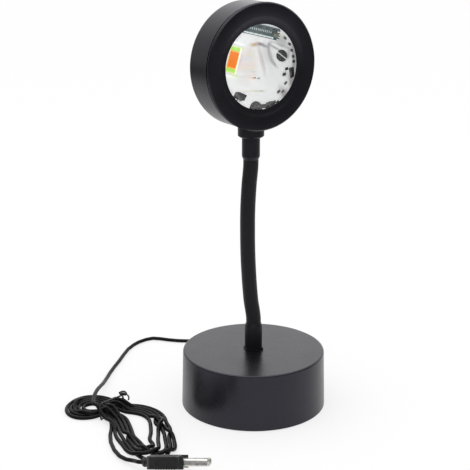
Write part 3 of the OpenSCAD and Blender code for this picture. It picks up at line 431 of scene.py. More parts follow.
# fired ceramic of the capacitors: brown and dull
brownCeramic = surface(
    "chip_ceramic_brown", colours=("#5a4034", "#7b5a48"), patch=1, grain=0.3, depth=0.01, rough=(0.4, 0.55))
# cast resin of the tantalum block: beige, softly shiny
tantalumResin = surface(
    "tantalum_resin_beige", colours=("#c9c6a4", "#dad7bb"), patch=1, grain=0.3, depth=0.01, rough=(0.35, 0.5))
# hot tin at the ends of the chips and on the pads
tinnedEnd = surface(
    "tinned_solder", colours=("#a9aaab", "#d5d6d7"), patch=0.5, grain=0.3, depth=0.02, rough=(0.2, 0.4),
    metallic=1)
# flash gold over nickel: smooth and warm
goldPlate = surface(
    "gold_plate", colours=("#d0a545", "#e2bd66"), patch=1.5, grain=0.4, depth=0.006, rough=(0.18, 0.3),
    metallic=1)
# nylon tongue: off-white, softly shiny
whiteNylon = surface(
    "tongue_nylon_white", colours=("#d9d8d3", "#e6e5e1"), patch=3, grain=0.4, depth=0.01, rough=(0.35, 0.5))
# printed white ink on the strip, also used for a painted highlight along its lower edge; its glow is painted
# light, for the light that the lens gathers
whiteInkAndHighlight = surface(
    "silkscreen_and_painted_highlight", colours=("#e4f2f2", "#f6fafa"), patch=1, grain=0.3, depth=0.005, rough=(0.35, 0.5),
    more={"Emission Color": linear("#e8f5f5"), "Emission Strength": 0.55})

# head frame: +X right, +Y up, +Z to the front, its middle on the lens axis over the neck
headAt, headTurn = (-2.3, 0, 242.42), 34
headPlace = (Matrix.Scale(mm, 4) @ Matrix.Translation(headAt) @ Matrix.Rotation(radians(headTurn), 4, "Z")
             @ Matrix.Rotation(radians(90), 4, "X"))


# millimetres in the head's frame, from the object coordinates
def headCoords(tree):
    coords = put(tree, "TexCoord").outputs["Object"]
    return put(tree, "Mapping", {
        "Vector": coords, "Location": [v * mm for v in headAt], "Scale": (mm, mm, mm),
        "Rotation": (radians(90), 0, radians(headTurn))}, vector_type="TEXTURE")


# soft-edged oval on the board: 1 inside, 0 outside
def ovalMask(tree, coords, at, size, turn=0, soft=0.4):
    local = put(
        tree, "Mapping",
        {
            "Vector": coords, "Location": (*at, 0), "Scale": (*size, 1000),
            "Rotation": (0, 0, radians(turn))},
        vector_type="TEXTURE")
    reach = put(tree, "VectorMath", {0: local}, operation="LENGTH").outputs["Value"]
    return put(
        tree, "MapRange", {"Value": reach, "From Min": 1 + soft, "From Max": 1 - soft},
        interpolation_type="SMOOTHSTEP")


# lays a tint over a colour where the mask is, or where it and a share of it are
def painted(tree, mask, under, tint, share=None):
    over = tint if isinstance(tint, bpy.types.NodeSocket) else linear(tint)
    if share is not None:
        mask = put(tree, "Math", {0: mask, 1: share}, operation="MULTIPLY")
    return put(tree, "Mix", {0: mask, 6: under, 7: over}, data_type="RGBA").outputs[2]


# colour, its own faint glow (light that the lens gathers on the board) and gloss
def litShader(tree, colour, glow, rough):
    shader = put(
        tree, "BsdfPrincipled",
        {"Base Color": colour, "Emission Color": colour, "Emission Strength": glow, "Roughness": rough})
    put(tree, "OutputMaterial", {"Surface": shader})


# glossy white solder mask, with painted streaks, arcs and colour fringes that stand in for the thick lens's
# refraction and inner reflections. A field of painted arcs has its place, size and turn, and a mark its
# softness, tint and strength as well
board = {
    "white": "#f8f8f8", "shade": "#ebebec", "glow": 0.62, "rough": 0.3,
    "paintedArcFields": [((16.6, 6), (5.2, 3), -24), ((15.6, 1.6), (2.2, 4.4), 16), ((20.4, 2.6), (5.8, 4.9), 0)],
    "paintedMarks": [
        ((13.4, 3), (2.2, 4.8), 16, 0.9, "#cfcdce", 0.6), ((16.8, 6.4), (3.4, 0.5), -30, 0.8, "#8b8788", 0.7),
        ((6.7, 8.5), (2, 0.9), 6, 0.8, "#c49c60", 0.8), ((9.2, 8.6), (1.5, 0.8), -10, 0.7, "#75606c", 0.85),
        ((11.4, 7.7), (2, 0.7), -24, 0.7, "#8f8d9c", 0.8), ((9.3, 1.6), (0.6, 7.6), 12, 0.8, "#e2d3cb", 0.8),
        ((10.3, 1), (0.5, 7), 12, 0.8, "#c9c6c9", 0.7), ((22.4, 1.2), (1.8, 0.9), 30, 0.7, "#8d8d8d", 0.8),
        ((-1.5, 1.1), (0.5, 4.4), -16.5, 0.8, "#f7c3cd", 0.6), ((-6, -3.8), (1.6, 1.4), 0, 0.9, "#f2e36a", 0.8),
        ((-1.6, 7.6), (2.2, 0.7), -16, 0.9, "#ddf3b0", 0.7), ((-4, -6.6), (2, 0.7), -16, 0.9, "#ddf3b0", 0.7),
        ((5.5, -14.2), (5, 0.35), 0, 0.8, "#d8cf9f", 0.6), ((9.6, -14.4), (1.2, 0.5), 0, 0.7, "#b9b7b2", 0.7),
        ((5.5, -7.7), (0.9, 0.3), 12, 0.5, "#ee8a2a", 0.95), ((6.3, -7.7), (0.5, 0.35), 0, 0.5, "#5a4a3c", 0.9),
        ((8.1, -8), (0.7, 0.4), 0, 0.6, "#6d6c78", 0.85), ((5.7, -4.7), (0.8, 0.25), 0, 0.6, "#9a8f94", 0.6),
        ((21.2, 9.6), (3.6, 2.4), -40, 0.6, "#b9bdb9", 0.75), ((27.6, 1.6), (1.6, 8), 0, 0.7, "#8b8c8e", 0.7),
        ((26.2, -10.8), (1.8, 4), 28, 0.7, "#95908e", 0.7), ((22.5, -17), (2, 5), 42, 0.7, "#a09a98", 0.7),
        ((24.4, 3.6), (1.1, 3.4), -12, 0.6, "#b0aeae", 0.7), ((21.6, -6.6), (1.5, 1.4), 0, 0.3, "#c8c4c2", 0.6)]}


def boardMaterial():
    material, tree = emptyMaterial("white_mask_and_painted_reflections")
    coords = headCoords(tree)
    cloud = put(tree, "TexNoise", {"Vector": coords, "Scale": 0.16, "Detail": 3})
    cloudy = put(tree, "MapRange", {"Value": cloud, "From Min": 0.45, "From Max": 0.75, "To Max": 0.7})
    colour = painted(tree, cloudy, linear(board["white"]), board["shade"])
    # painted pastel streaks left of the middle, drawn out sideways: colour fringes and inner reflections of the
    # lens, painted on the board
    drawn = put(tree, "Mapping", {"Vector": coords, "Scale": (0.04, 0.7, 1), "Rotation": (0, 0, 0.12)})
    paintedStreak = put(tree, "TexNoise", {"Vector": drawn, "Scale": 1, "Detail": 1})
    field = ovalMask(tree, coords, (2.6, -1.4), (4.4, 8.4), -8, 0.3)
    for low, top, tint in ((0.42, 0.52, "#f3ecde"), (0.52, 0.64, "#f5e5e0"), (0.3, 0.4, "#e4ecf1")):
        middle = (low + top) / 2
        band = put(tree, "Math", {0: paintedStreak, 1: middle, 2: (top - low) / 2}, operation="COMPARE")
        colour = painted(tree, band, colour, tint, field)
    # painted grey arcs that sweep round the fixing screw, from above the middle: inner reflections of the lens,
    # painted on the board
    around = put(
        tree, "Mapping",
        {"Vector": coords, "Location": (19.9, 2.4, 0), "Rotation": (0, 0, 0.6), "Scale": (1.3, 1, 1)},
        vector_type="TEXTURE")
    reach = put(tree, "VectorMath", {0: around}, operation="LENGTH").outputs["Value"]
    warp = put(tree, "TexNoise", {"Vector": coords, "Scale": 0.09, "Detail": 0})
    swept = put(tree, "Math", {0: warp, 1: 9.0, 2: reach}, operation="MULTIPLY_ADD")
    phase = put(tree, "Math", {0: swept, 1: 3.1}, operation="MULTIPLY")
    wave = put(tree, "Math", {0: phase}, operation="SINE")
    paintedArcs = put(tree, "MapRange", {"Value": wave, "From Min": -0.2, "From Max": 1, "To Max": 0.8})
    for at, size, turn in board["paintedArcFields"]:
        sweep = ovalMask(tree, coords, at, size, turn, 0.5)
        colour = painted(tree, paintedArcs, colour, "#908d8e", sweep)
    # tinted ovals: mostly painted reflections and colour fringes of the lens, a few painted small parts
    for at, size, turn, soft, tint, strength in board["paintedMarks"]:
        colour = painted(tree, ovalMask(tree, coords, at, size, turn, soft), colour, tint, strength)
    litShader(tree, colour, board["glow"], board["rough"])
    return material


# cast silicone over the chip: amber in the middle field, with a painted yellow-green colour fringe from the lens
# above and below it
led = {"half": (2.5, 6.7), "rim": 0.7}


def phosphorMaterial():
    material, tree = emptyMaterial("phosphor_and_painted_fringe")
    coords = headCoords(tree)
    grainy = put(tree, "TexNoise", {"Vector": coords, "Scale": 3, "Detail": 3})
    paintedFringe = painted(tree, grainy, linear("#a6ef55"), "#c9f26e")
    amber = painted(tree, grainy, linear("#ff7a00"), "#ff8a12")
    along = put(
        tree, "Mapping",
        {"Vector": coords, "Location": (-5.3, 1.9, 0), "Rotation": (0, 0, radians(-16.5))},
        vector_type="TEXTURE")
    across = put(tree, "SeparateXYZ", {0: along}).outputs
    offs = [put(tree, "Math", {0: across[axis]}, operation="ABSOLUTE") for axis in "XY"]
    # the amber field fades into the painted yellow-green colour fringe above and below it
    share = put(
        tree, "MapRange", {"Value": offs[1], "From Min": 5, "From Max": 3.7}, interpolation_type="SMOOTHSTEP")
    colour = painted(tree, share, paintedFringe, amber)
    # the rim is thinner: the chip's edge shows pale through it
    for off, full in zip(offs, (led["half"][0], led["half"][1])):
        rim = put(
            tree, "MapRange", {"Value": off, "From Min": full - led["rim"], "From Max": full, "To Max": 0.75},
            interpolation_type="SMOOTHSTEP")
        colour = painted(tree, rim, colour, "#eef6c8")
    litShader(tree, colour, 0.7, 0.4)
    return material


# black-oxide pan head: dark, with worn patches and a painted reflection along its slot
def screwMaterial():
    material, tree = emptyMaterial("black_oxide_painted_glint")
    local = put(
        tree, "Mapping",
        {"Vector": headCoords(tree), "Location": (20.27, 2.31, 0), "Rotation": (0, 0, radians(-38))},
        vector_type="TEXTURE")
    spot = put(tree, "SeparateXYZ", {0: local}).outputs
    wear = put(tree, "TexNoise", {"Vector": local, "Scale": 1.1, "Detail": 2})
    off = put(tree, "Math", {0: spot["Y"]}, operation="ABSOLUTE")
    # a narrow bright line along the slot: a painted reflection
    paintedGlint = put(tree, "MapRange", {"Value": off, "From Min": 0.42, "From Max": 0.2})
    dull = put(tree, "MapRange", {"Value": wear, "From Min": 0.35, "From Max": 0.7})
    metal = painted(tree, dull, linear("#1d1d1f"), "#5a5a5c")
    litShader(tree, painted(tree, paintedGlint, metal, "#f4f4f4"), 0.35, 0.3)
    return material


# teal solder mask with traces showing as lighter lines
def controlMaterial():
    material, tree = emptyMaterial("solder_mask_teal")
    coords = put(tree, "Mapping", {"Vector": headCoords(tree), "Rotation": (0, 0, radians(16.5))})
    cells = put(
        tree, "TexVoronoi", {"Vector": coords, "Scale": 0.9}, distance="CHEBYCHEV",
        feature="DISTANCE_TO_EDGE")
    trace = put(tree, "MapRange", {"Value": cells.outputs["Distance"], "From Min": 0.03, "From Max": 0.08})
    litShader(tree, painted(tree, trace, linear("#2f7f86"), "#0d454f"), 0.12, 0.3)
    return material


# polished optical glass: perfectly clear, and it lets the light through to the board
def lensMaterial():
    material, tree = emptyMaterial("polished_lens")
    coords = put(tree, "TexCoord").outputs["Object"]
    smudge = put(tree, "TexNoise", {"Vector": coords, "Scale": 90, "Detail": 3})
    rough = put(tree, "MapRange", {"Value": smudge, "From Min": 0.6, "From Max": 0.8, "To Max": 0.03})
    glass = put(
        tree, "BsdfPrincipled",
        {"Base Color": linear("#fcfdfd"), "Transmission Weight": 1, "IOR": 1.5, "Roughness": rough})
    clear = put(tree, "BsdfTransparent")
    ray = put(tree, "LightPath").outputs["Is Shadow Ray"]
    both = put(tree, "MixShader", {0: ray, 1: glass, 2: clear})
    put(tree, "OutputMaterial", {"Surface": both})
    return material


boardWhiteAndReflections, phosphorAndFringe, controlTeal = boardMaterial(), phosphorMaterial(), controlMaterial()
lensClear, screwDark = lensMaterial(), screwMaterial()
print("finishes made")

# the solids that keep their shape, each with its finish
finishOf = {
    powderCoat: ["base_shell", "head_housing"],
    fittingCoat: ["lower_fitting", "lower_ferrule", "upper_ferrule", "head_collar"],
    cablePvc: ["strain_relief", "base_lead", "head_lead"] + [f"neck_lead_{k}" for k in range(1, 8)],
    coverAbs: ["bottom_cover"], footFoam: ["bottom_pad"], castIron: ["ballast_weight"],
    turnedBrass: ["neck_nut", "upper_fitting", "head_nut"],
    zincSteel: ["cover_screws", "neck_washer", "head_washer", "retainer_screws"], screwDark: ["board_screws"],
    blackSilicone: ["lens_gasket"], innerAbs: ["lens_retainer"], boardWhiteAndReflections: ["light_board", "led_package"],
    phosphorAndFringe: ["led_phosphor"], controlTeal: ["control_board"], blackEpoxy: ["wire_connector"],
    whiteNylon: ["plug_tongue"], goldPlate: ["plug_contacts"]}
for material, names in finishOf.items():
    for name in names:
        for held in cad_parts[name].material_slots:
            held.link = "OBJECT"
            held.material = material
print("solids dressed")

# neck: a smooth sleeve in eight parts, each curved along the neck's sway
neck = {"radius": 5.2, "bore": 2, "bottom": 60.7, "top": 178.05, "firstJoint": 61.5, "step": 16.4,
        "sway": [0, -2, -3.3, -4.1, -4.4, -4.3, -3.5, -2.3], "rings": 22, "sides": 56, "ballGap": 0.02}


# the neck's sideways sway and its slope at a height
def swayAt(z):
    x, n = neck["sway"], len(neck["sway"])
    slopes = [0] + [(x[i + 1] - x[i - 1]) / (2 * neck["step"]) for i in range(1, n - 1)] + [0]
    t = (z - neck["firstJoint"]) / neck["step"]
    i = min(n - 2, max(0, int(t)))
    t = min(1, max(0, t - i))
    a, b, ma, mb = x[i], x[i + 1], slopes[i] * neck["step"], slopes[i + 1] * neck["step"]
    at = (2 * t ** 3 - 3 * t ** 2 + 1) * a + (t ** 3 - 2 * t ** 2 + t) * ma
    at += (3 * t ** 2 - 2 * t ** 3) * b + (t ** 3 - t ** 2) * mb
    slope = ((6 * t * t - 6 * t) * (a - b) + (3 * t * t - 4 * t + 1) * ma
             + (3 * t * t - 2 * t) * mb) / neck["step"]
    return at, slope


def sleevePart(k, low, top):
    heights = np.linspace(low, top, neck["rings"])
    turn = 2 * pi * np.arange(neck["sides"]) / neck["sides"]
    loops = []
    for inner in (False, True):
        for z in heights[::-1] if inner else heights:
            x, slope = swayAt(z)
            radius = neck["radius"]
            if inner:
                ball = (neck["radius"] - neck["ballGap"]) ** 2 - max(0, z - neck["firstJoint"]) ** 2
                radius = max(neck["bore"], sqrt(max(0, ball))) if k == 0 else neck["bore"]
            tilt = atan(slope)
            cosine, sine = radius * np.cos(turn), radius * np.sin(turn)
            loops.append(np.stack([x + cosine * cos(tilt), sine, z - cosine * sin(tilt)], axis=1))
    count, sides = len(loops), neck["sides"]
    faces = [(i * sides + j, i * sides + (j + 1) % sides, (i + 1) % count * sides + (j + 1) % sides,
              (i + 1) % count * sides + j) for i in range(count) for j in range(sides)]
    return makePiece(f"neck_sleeve_{k}", np.vstack(loops), faces, neckSleeve)


for k in range(8):
    joint = neck["firstJoint"] + k * neck["step"]
    low = neck["bottom"] if k == 0 else joint - neck["step"] / 2
    top = neck["top"] if k == 7 else joint + neck["step"] / 2
    part = sleevePart(k, low, top)
    lowAt, topAt = ((swayAt(z)[0] * mm, 0, z * mm) for z in (low, top))
    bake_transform(part)
    if k:
        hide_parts(f"neck_link_{k}")
print("neck sleeved")

# lens: plano-convex, dense and smooth
lens = {"radius": 29.5, "rear": 4, "edge": 6.9, "crown": 21, "rings": 40, "bevel": 0.25,
        "lipFrom": 28.7, "lipTo": 28, "lipUnder": 12.06, "lipTop": 12.22}


def lensPiece():
    rise = lens["crown"] - lens["rear"] - lens["edge"]
    ball = (lens["radius"] ** 2 + rise ** 2) / (2 * rise)
    outline = [(0, lens["rear"]), (lens["radius"] - lens["bevel"], lens["rear"]),
               (lens["radius"], lens["rear"] + lens["bevel"]), (lens["radius"], lens["rear"] + lens["edge"])]
    for k in range(1, lens["rings"] + 1):
        r = lens["radius"] * (1 - k / lens["rings"])
        outline.append((r, lens["crown"] - ball + sqrt(ball * ball - r * r)))
    return makePiece("clear_lens", *turnedShape(outline, 192), lensClear, headPlace, 30)


# the bezel with its lip drawn in over the lens: the solid's own mesh, its innermost edge moved
def bezelPiece():
    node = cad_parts["bezel_ring"]
    mesh = node.data.copy()
    mesh.transform(headPlace.inverted() @ node.matrix_world)
    for vertex in mesh.vertices:
        reach = hypot(vertex.co.x, vertex.co.y)
        if reach < lens["lipFrom"] + 0.1 and vertex.co.z > 11:
            vertex.co.xy *= lens["lipTo"] / reach
            vertex.co.z = lens["lipUnder"] if vertex.co.z < 11.75 else lens["lipTop"]
    mesh.transform(headPlace)
    return finishMesh(bpy.data.objects.new("bezel_face", mesh), powderCoat, 20)


fitPiece(bezelPiece(), "head", "black_coat", "bezel_ring")
fitPiece(lensPiece(), "head", "lens_glass", "lens")
print("lens ground")


def blockTree():
    tree = bpy.data.node_groups.new("blocks on points", "GeometryNodeTree")
    face = tree.interface
    face.new_socket("Points", in_out="INPUT", socket_type="NodeSocketGeometry")
    for name in ("Length", "Width", "Height", "Corner"):
        face.new_socket(name, in_out="INPUT", socket_type="NodeSocketFloat")
    face.new_socket("Finish", in_out="INPUT", socket_type="NodeSocketMaterial")
    face.new_socket("Blocks", in_out="OUTPUT", socket_type="NodeSocketGeometry")
    given = put(tree, "NodeGroupInput").outputs
    outline = put(
        tree, "GeometryNodeCurvePrimitiveQuadrilateral", {"Width": given["Length"], "Height": given["Width"]})
    soft = put(
        tree, "GeometryNodeFilletCurve",
        {"Curve": outline, "Radius": given["Corner"], "Count": 2, "Limit Radius": True}, mode="POLY")
    foot = put(tree, "GeometryNodeFillCurve", {"Curve": soft}, mode="NGONS")
    raised = put(
        tree, "GeometryNodeExtrudeMesh", {"Mesh": foot, "Offset Scale": given["Height"], "Individual": False})
    under = put(tree, "GeometryNodeFlipFaces", {0: foot})
    both = put(tree, "GeometryNodeJoinGeometry")
    tree.links.new(raised.outputs["Mesh"], both.inputs[0])
    tree.links.new(under.outputs[0], both.inputs[0])
    block = put(tree, "GeometryNodeMergeByDistance", {"Geometry": both, "Distance": 1e-4})
    turn = put(tree, "GeometryNodeInputNamedAttribute", {"Name": "turn"}, data_type="FLOAT")
    spin = put(tree, "CombineXYZ", {"Z": turn.outputs["Attribute"]})
    copies = put(
        tree, "GeometryNodeInstanceOnPoints",
        {"Points": given["Points"], "Instance": block, "Rotation": spin})
    real = put(tree, "GeometryNodeRealizeInstances", {0: copies})
    done = put(tree, "GeometryNodeSetMaterial", {"Geometry": real, "Material": given["Finish"]})
    put(tree, "NodeGroupOutput", {"Blocks": done})
    return tree


blocks = blockTree()


# blocks of one size at spots (x, y, z, turn in degrees) of a local frame, made one plain mesh
def blockRow(name, spots, size, corner, material, place, bevel=0.06):
    mesh = bpy.data.meshes.new(name + "_spots")
    mesh.from_pydata([s[:3] for s in spots], [], [])
    mesh.attributes.new("turn", "FLOAT", "POINT").data.foreach_set("value", [radians(s[3]) for s in spots])
    source = bpy.data.objects.new(name + "_spots", mesh)
    link(source)
    maker = source.modifiers.new("blocks", "NODES")
    maker.node_group = blocks
    given = dict(zip(("Length", "Width", "Height", "Corner", "Finish"), (*size, corner, material)))
    for socket in blocks.interface.items_tree:
        if socket.in_out == "INPUT" and socket.name in given:
            maker[socket.identifier] = given[socket.name]
    result = bpy.data.meshes.new_from_object(source.evaluated_get(bpy.context.evaluated_depsgraph_get()))
    bpy.data.objects.remove(source)
    piece = bpy.data.objects.new(name, result)
    link(piece)
    work = bmesh.new()
    work.from_mesh(result)
    edges = [e for e in work.edges if e.is_manifold and e.calc_face_angle(0) > radians(60)]
    bmesh.ops.bevel(work, geom=edges, offset=bevel, segments=1, affect="EDGES")
    work.to_mesh(result)
    work.free()
    result.transform(place)
    return finishMesh(piece, material)


# light board: control strip, chips and their solder
boardTop = -5.6
control = {"at": (7.1, 16.9), "turn": -16.5, "size": (25, 6.2, 1), "stand": 1.4, "ticks": 15, "pitch": 1.05,
           "tick": (0.26, 1.15, 0.04)}
controlPlace = (headPlace @ Matrix.Translation((*control["at"], boardTop + control["stand"]))
                @ Matrix.Rotation(radians(control["turn"]), 4, "Z"))
controlTop = control["size"][2]
tickRow = [(i * control["pitch"] - 7.6, 0.4 + 0.1 * (i % 2), controlTop, 0) for i in range(control["ticks"])]
stripPieces = {
    "control_ticks": (tickRow, control["tick"], 0.08, whiteInkAndHighlight, 0.012),
    # a white bar under the ticks: a painted highlight along the strip's edge
    "control_edge_highlight": ([(-1.6, -2.3, controlTop, 0)], (21, 0.75, 0.06), 0.1, whiteInkAndHighlight, 0.015),
    "control_rim": ([(0, -2.9, controlTop, 0)], (24.4, 0.2, 0.06), 0.05, blackEpoxy, 0.015),
    "tantalum_block": ([(9.6, 0, controlTop, 0)], (2.6, 2.3, 1.6), 0.25, tantalumResin, 0.15),
    # dark blocks filling the gaps between the pads: painted shade
    "strip_gap_shade": ([(x, y, controlTop, 0) for x in (11.2, 12) for y in (-1.9, -0.5, 0.9)],
                   (0.5, 0.6, 0.4), 0.08, blackEpoxy, 0.05),
    "strip_pads": ([(11.6, y, controlTop, 0) for y in (-2.5, -1.2, 0.2, 1.6)],
                   (1.5, 0.7, 0.25), 0.1, whiteInkAndHighlight, 0.05),
    "strip_chips": ([(-9 + 4.6 * i, 2.2, controlTop, 0) for i in range(5)],
                    (1.8, 1, 0.5), 0.1, blackEpoxy, 0.06),
    "header_body": ([(0, -2.27, -1.25, 0)], (22.6, 1.5, 1.2), 0.2, blackEpoxy, 0.1),
    "header_pins": ([((i - 4) * 2.54, -2.27, -1.4, 0) for i in range(9)],
                    (0.64, 0.64, 1.38), 0.08, goldPlate, 0.05)}
made = [blockRow(name, spots, size, corner, material, controlPlace, bevel)
        for name, (spots, size, corner, material, bevel) in stripPieces.items()]
for piece in made:
    if piece.name == "tantalum_block":
        fitPiece(piece, "head", "parts_beige", "control_parts")
    else:
        fitPiece(piece, "head", "parts_black")

chips = {"spots": [
             (22.9, 11, -35), (25.2, 7.8, -25), (26.2, 4.6, -15), (26.9, 1.6, -5), (27.3, -0.9, 0),
             (22.6, -4.2, 10), (21.2, -6.8, 15), (22.2, -11.2, 40), (20.9, -15.4, 40), (18.4, -15.2, 40),
             (18.3, -20.9, 50), (16.4, -20.6, 50)],
         "size": (2, 1.3, 0.8), "cap": 0.42, "brown": (7, 8, 10, 11), "receiver": (25.9, -6.2, 10),
         "receiverSize": (3, 5.2, 2.6), "regulator": (-2.1, -16.8, -25), "regulatorSize": (4.8, 3.4, 1.4)}


def besideSpot(spot, dx, dy, z=boardTop):
    a = radians(spot[2])
    return (spot[0] + dx * cos(a) - dy * sin(a), spot[1] + dx * sin(a) + dy * cos(a), z, spot[2])


length, width, height = chips["size"]
cap = chips["cap"]
bodySpots = [besideSpot(s, 0, 0) for s in chips["spots"]]
capSpots = [besideSpot(s, side * (length - cap) / 2, 0) for s in chips["spots"] for side in (-1, 1)]
legSpots = [besideSpot(chips["regulator"], x, -2) for x in (-1.5, 0, 1.5)]
legSpots += [besideSpot(chips["receiver"], x, -2.7) for x in (-1, 0, 1)]
chipPieces = {
    "chip_bodies": ([s for k, s in enumerate(bodySpots) if k not in chips["brown"]],
                    (length - 2 * cap, width, height), 0.05, blackEpoxy),
    "chip_resistors": ([s for k, s in enumerate(bodySpots) if k in chips["brown"]],
                       (length - 2 * cap, width, height), 0.05, brownCeramic),
    "chip_ends": (capSpots, (cap, width, height), 0.05, tinnedEnd),
    "receiver_block": ([besideSpot(chips["receiver"], 0, 0)], chips["receiverSize"], 0.5, blackEpoxy),
    "regulator_block": ([besideSpot(chips["regulator"], 0, 0)], chips["regulatorSize"], 0.3, blackEpoxy),
    "part_legs": (legSpots, (0.5, 0.9, 0.25), 0.08, tinnedEnd)}
made = [blockRow(name, spots, size, corner, material, headPlace)
        for name, (spots, size, corner, material) in chipPieces.items()]
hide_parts("board_parts")
for piece in made:
    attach(piece, "head")
print("light board populated")

# twist tie: a band round the waist of the hank, twisted on top, with two curled ends
tie = {"wire": 1.25, "reach": 2.2, "knot": (10.1, 10.4), "twists": 2.5, "twistLength": 4.4,
       "coil": 0.6, "lean": 0.8, "over": 0.4, "taper": 0.9,
       "corners": [(12.5, 2.75, -90), (11.1, 6.45, 0), (-12.1, 9.85, 90), (-12.1, 2.75, 180)],
       "ends": [(0, [(5.2, 0.2, 0.7), (7, -0.4, 0.3), (8.4, -1.6, -0.5), (8.8, -2.8, -1.6)]),
                (pi, [(3.6, 1.8, 1.3), (1.4, 2.4, 1.4), (-0.6, 2, 0.7), (-1.4, 0.6, 0.2)])]}
tiePlace = (Matrix.Scale(mm, 4) @ Matrix.Translation((*hank["waist"], 0))
            @ Matrix.Rotation(hankHeading(0), 4, "Z"))


def tiePiece():
    band = [(0, y + tie["reach"] * cos(radians(c + a)), z + tie["reach"] * sin(radians(c + a)))
            for y, z, c in tie["corners"] for a in range(0, 91, 15)]
    points, faces = tubeShape(smoothPath(band, 3, True), tie["wire"] / 2, 10, True)
    shapes = [(points, faces)]
    y, z = tie["knot"]
    for side, ends in tie["ends"]:
        path = []
        for k in range(21):
            t = k / 20
            a = side + 2 * pi * tie["twists"] * t
            path.append((t * tie["twistLength"], y + tie["lean"] * t + tie["coil"] * cos(a),
                         z + tie["over"] + tie["coil"] * sin(a)))
        path += [(x, y + across, z + up) for x, across, up in ends]
        shapes.append(tubeShape(smoothPath(path, 3), tie["wire"] / 2 * tie["taper"], 10))
    allPoints, allFaces = [], []
    for points, faces in shapes:
        allFaces += [tuple(i + len(allPoints) for i in face) for face in faces]
        allPoints += [tuple(p) for p in points]
    return makePiece("twist_tie", allPoints, allFaces, tiePlastic, tiePlace, 60)


twistTie = tiePiece()
fitPiece(twistTie, "base", "tie_black", "cord_tie")
print("tie twisted")

# plug: moulded grip with ribs, drawn metal shell with its windows
mould = {"bevel": 1.1, "nose": 3, "heel": 2, "notch": 3.4, "notchHalf": 6.2, "ribs": 8, "ribFrom": 6.4,
         "ribPitch": 1.7, "rib": (0.75, 15.9, 8.3), "window": 2.4, "windowAt": (-3.6, 1.2),
         "windowX": 12.7, "cornerR": 0.8, "edge": 0.08}


def mouldPiece():
    w, l, t = plug["width"] / 2 - 0.25, plug["length"], plug["thick"] / 2
    notch, half = mould["notch"], mould["notchHalf"]
    plan = [(0, -w + mould["heel"]), (mould["heel"], -w), (l - mould["nose"], -w), (l, -half - 0.7),
            (l, -half), (l - notch, -half), (l - notch, half), (l, half), (l, half + 0.7),
            (l - mould["nose"], w), (mould["heel"], w), (0, w - mould["heel"])]
    count = len(plan)
    points = [(x, y, z) for z in (-t, t) for x, y in plan]
    faces = [tuple(range(count))[::-1], tuple(range(count, 2 * count))]
    faces += [(k, (k + 1) % count, count + (k + 1) % count, count + k) for k in range(count)]
    mesh = bpy.data.meshes.new("plug_grip")
    mesh.from_pydata(points, [], faces)
    work = bmesh.new()
    work.from_mesh(mesh)
    outer = [e for e in work.edges if all(v.co.x < l - mould["nose"] + 0.1 for v in e.verts) and (
        abs(e.verts[0].co.z - e.verts[1].co.z) > 1 or all(abs(v.co.y) > half + 0.3 for v in e.verts))]
    bmesh.ops.bevel(
        work, geom=outer, offset=mould["bevel"], segments=4, profile=0.6, affect="EDGES", clamp_overlap=True)
    # round knob where the cord comes out, slightly waisted
    r = plug["knobD"] / 2
    outline = [(0, 0.6), (r, 0.6), (r, -1.2), (r - 0.35, -1.8), (r, -2.4), (r - 0.2, -3.2),
               (r - 0.8, -plug["knob"]), (0, -plug["knob"])]
    knobPoints, knobFaces = turnedShape(outline, 40)
    turned = [work.verts.new((z, x, y)) for x, y, z in knobPoints]
    for face in knobFaces:
        work.faces.new([turned[i] for i in face])
    work.to_mesh(mesh)
    work.free()
    mesh.transform(plugPlace)
    return finishMesh(bpy.data.objects.new("plug_grip", mesh), plugPvc, 40)


def shellPiece():
    w, t, r = plug["shellWidth"] / 2, plug["shellThick"] / 2, mould["cornerR"]
    hole, starts = mould["window"], mould["windowAt"]
    cuts = sorted([a for y in starts for a in (y, y + hole)])
    ring = []
    for cy, cz, a in ((w - r, t - r, 0), (-w + r, t - r, 90), (-w + r, -t + r, 180), (w - r, -t + r, 270)):
        ring += [(cy + r * cos(radians(a + s)), cz + r * sin(radians(a + s))) for s in range(0, 91, 18)]
        if a in (0, 180):
            ring += [(y, t if a == 0 else -t) for y in (cuts[::-1] if a == 0 else cuts)]
    stops = [0, mould["windowX"], mould["windowX"] + hole, plug["shellIn"] + plug["shellOut"]]
    xs = [plug["length"] - plug["shellIn"] + s for s in stops]
    points = [(x, y, z) for x in xs for y, z in ring]
    count, faces = len(ring), []
    for i in range(len(xs) - 1):
        for k in range(count):
            n = (k + 1) % count
            middle = ((ring[k][0] + ring[n][0]) / 2, (ring[k][1] + ring[n][1]) / 2)
            flat = abs(abs(middle[1]) - t) < 1e-6
            inHole = flat and any(y < middle[0] < y + hole for y in starts)
            if not (i == 1 and inHole):
                faces.append((i * count + k, i * count + n, (i + 1) * count + n, (i + 1) * count + k))
    shell = makePiece("plug_sheath", points, faces, nickelPlate, plugPlace, 30)
    wall = shell.modifiers.new("sheet", "SOLIDIFY")
    wall.thickness = plug["sheet"] * mm
    wall.offset = -1
    edge = shell.modifiers.new("edge", "BEVEL")
    edge.width = mould["edge"] * mm
    edge.segments = 2
    edge.limit_method = "ANGLE"
    edge.angle_limit = radians(50)
    return shell


ribSpots = [(mould["ribFrom"] + i * mould["ribPitch"], 0) for i in range(mould["ribs"])]
plugGrip, plugSheath = mouldPiece(), shellPiece()
ribLength, ribWidth, ribHeight = mould["rib"]
gripRibs = blockRow(
    "plug_ribs", [(x, y, -ribHeight / 2, 0) for x, y in ribSpots], (ribLength, ribWidth, ribHeight), 0.2,
    plugPvc, plugPlace, 0.22)
fitPiece(plugGrip, "base", "cable_jacket", "plug_body")
fitPiece(gripRibs, "base", "cable_jacket")
fitPiece(plugSheath, "base", "plug_nickel", "plug_shell")
print("plug moulded")

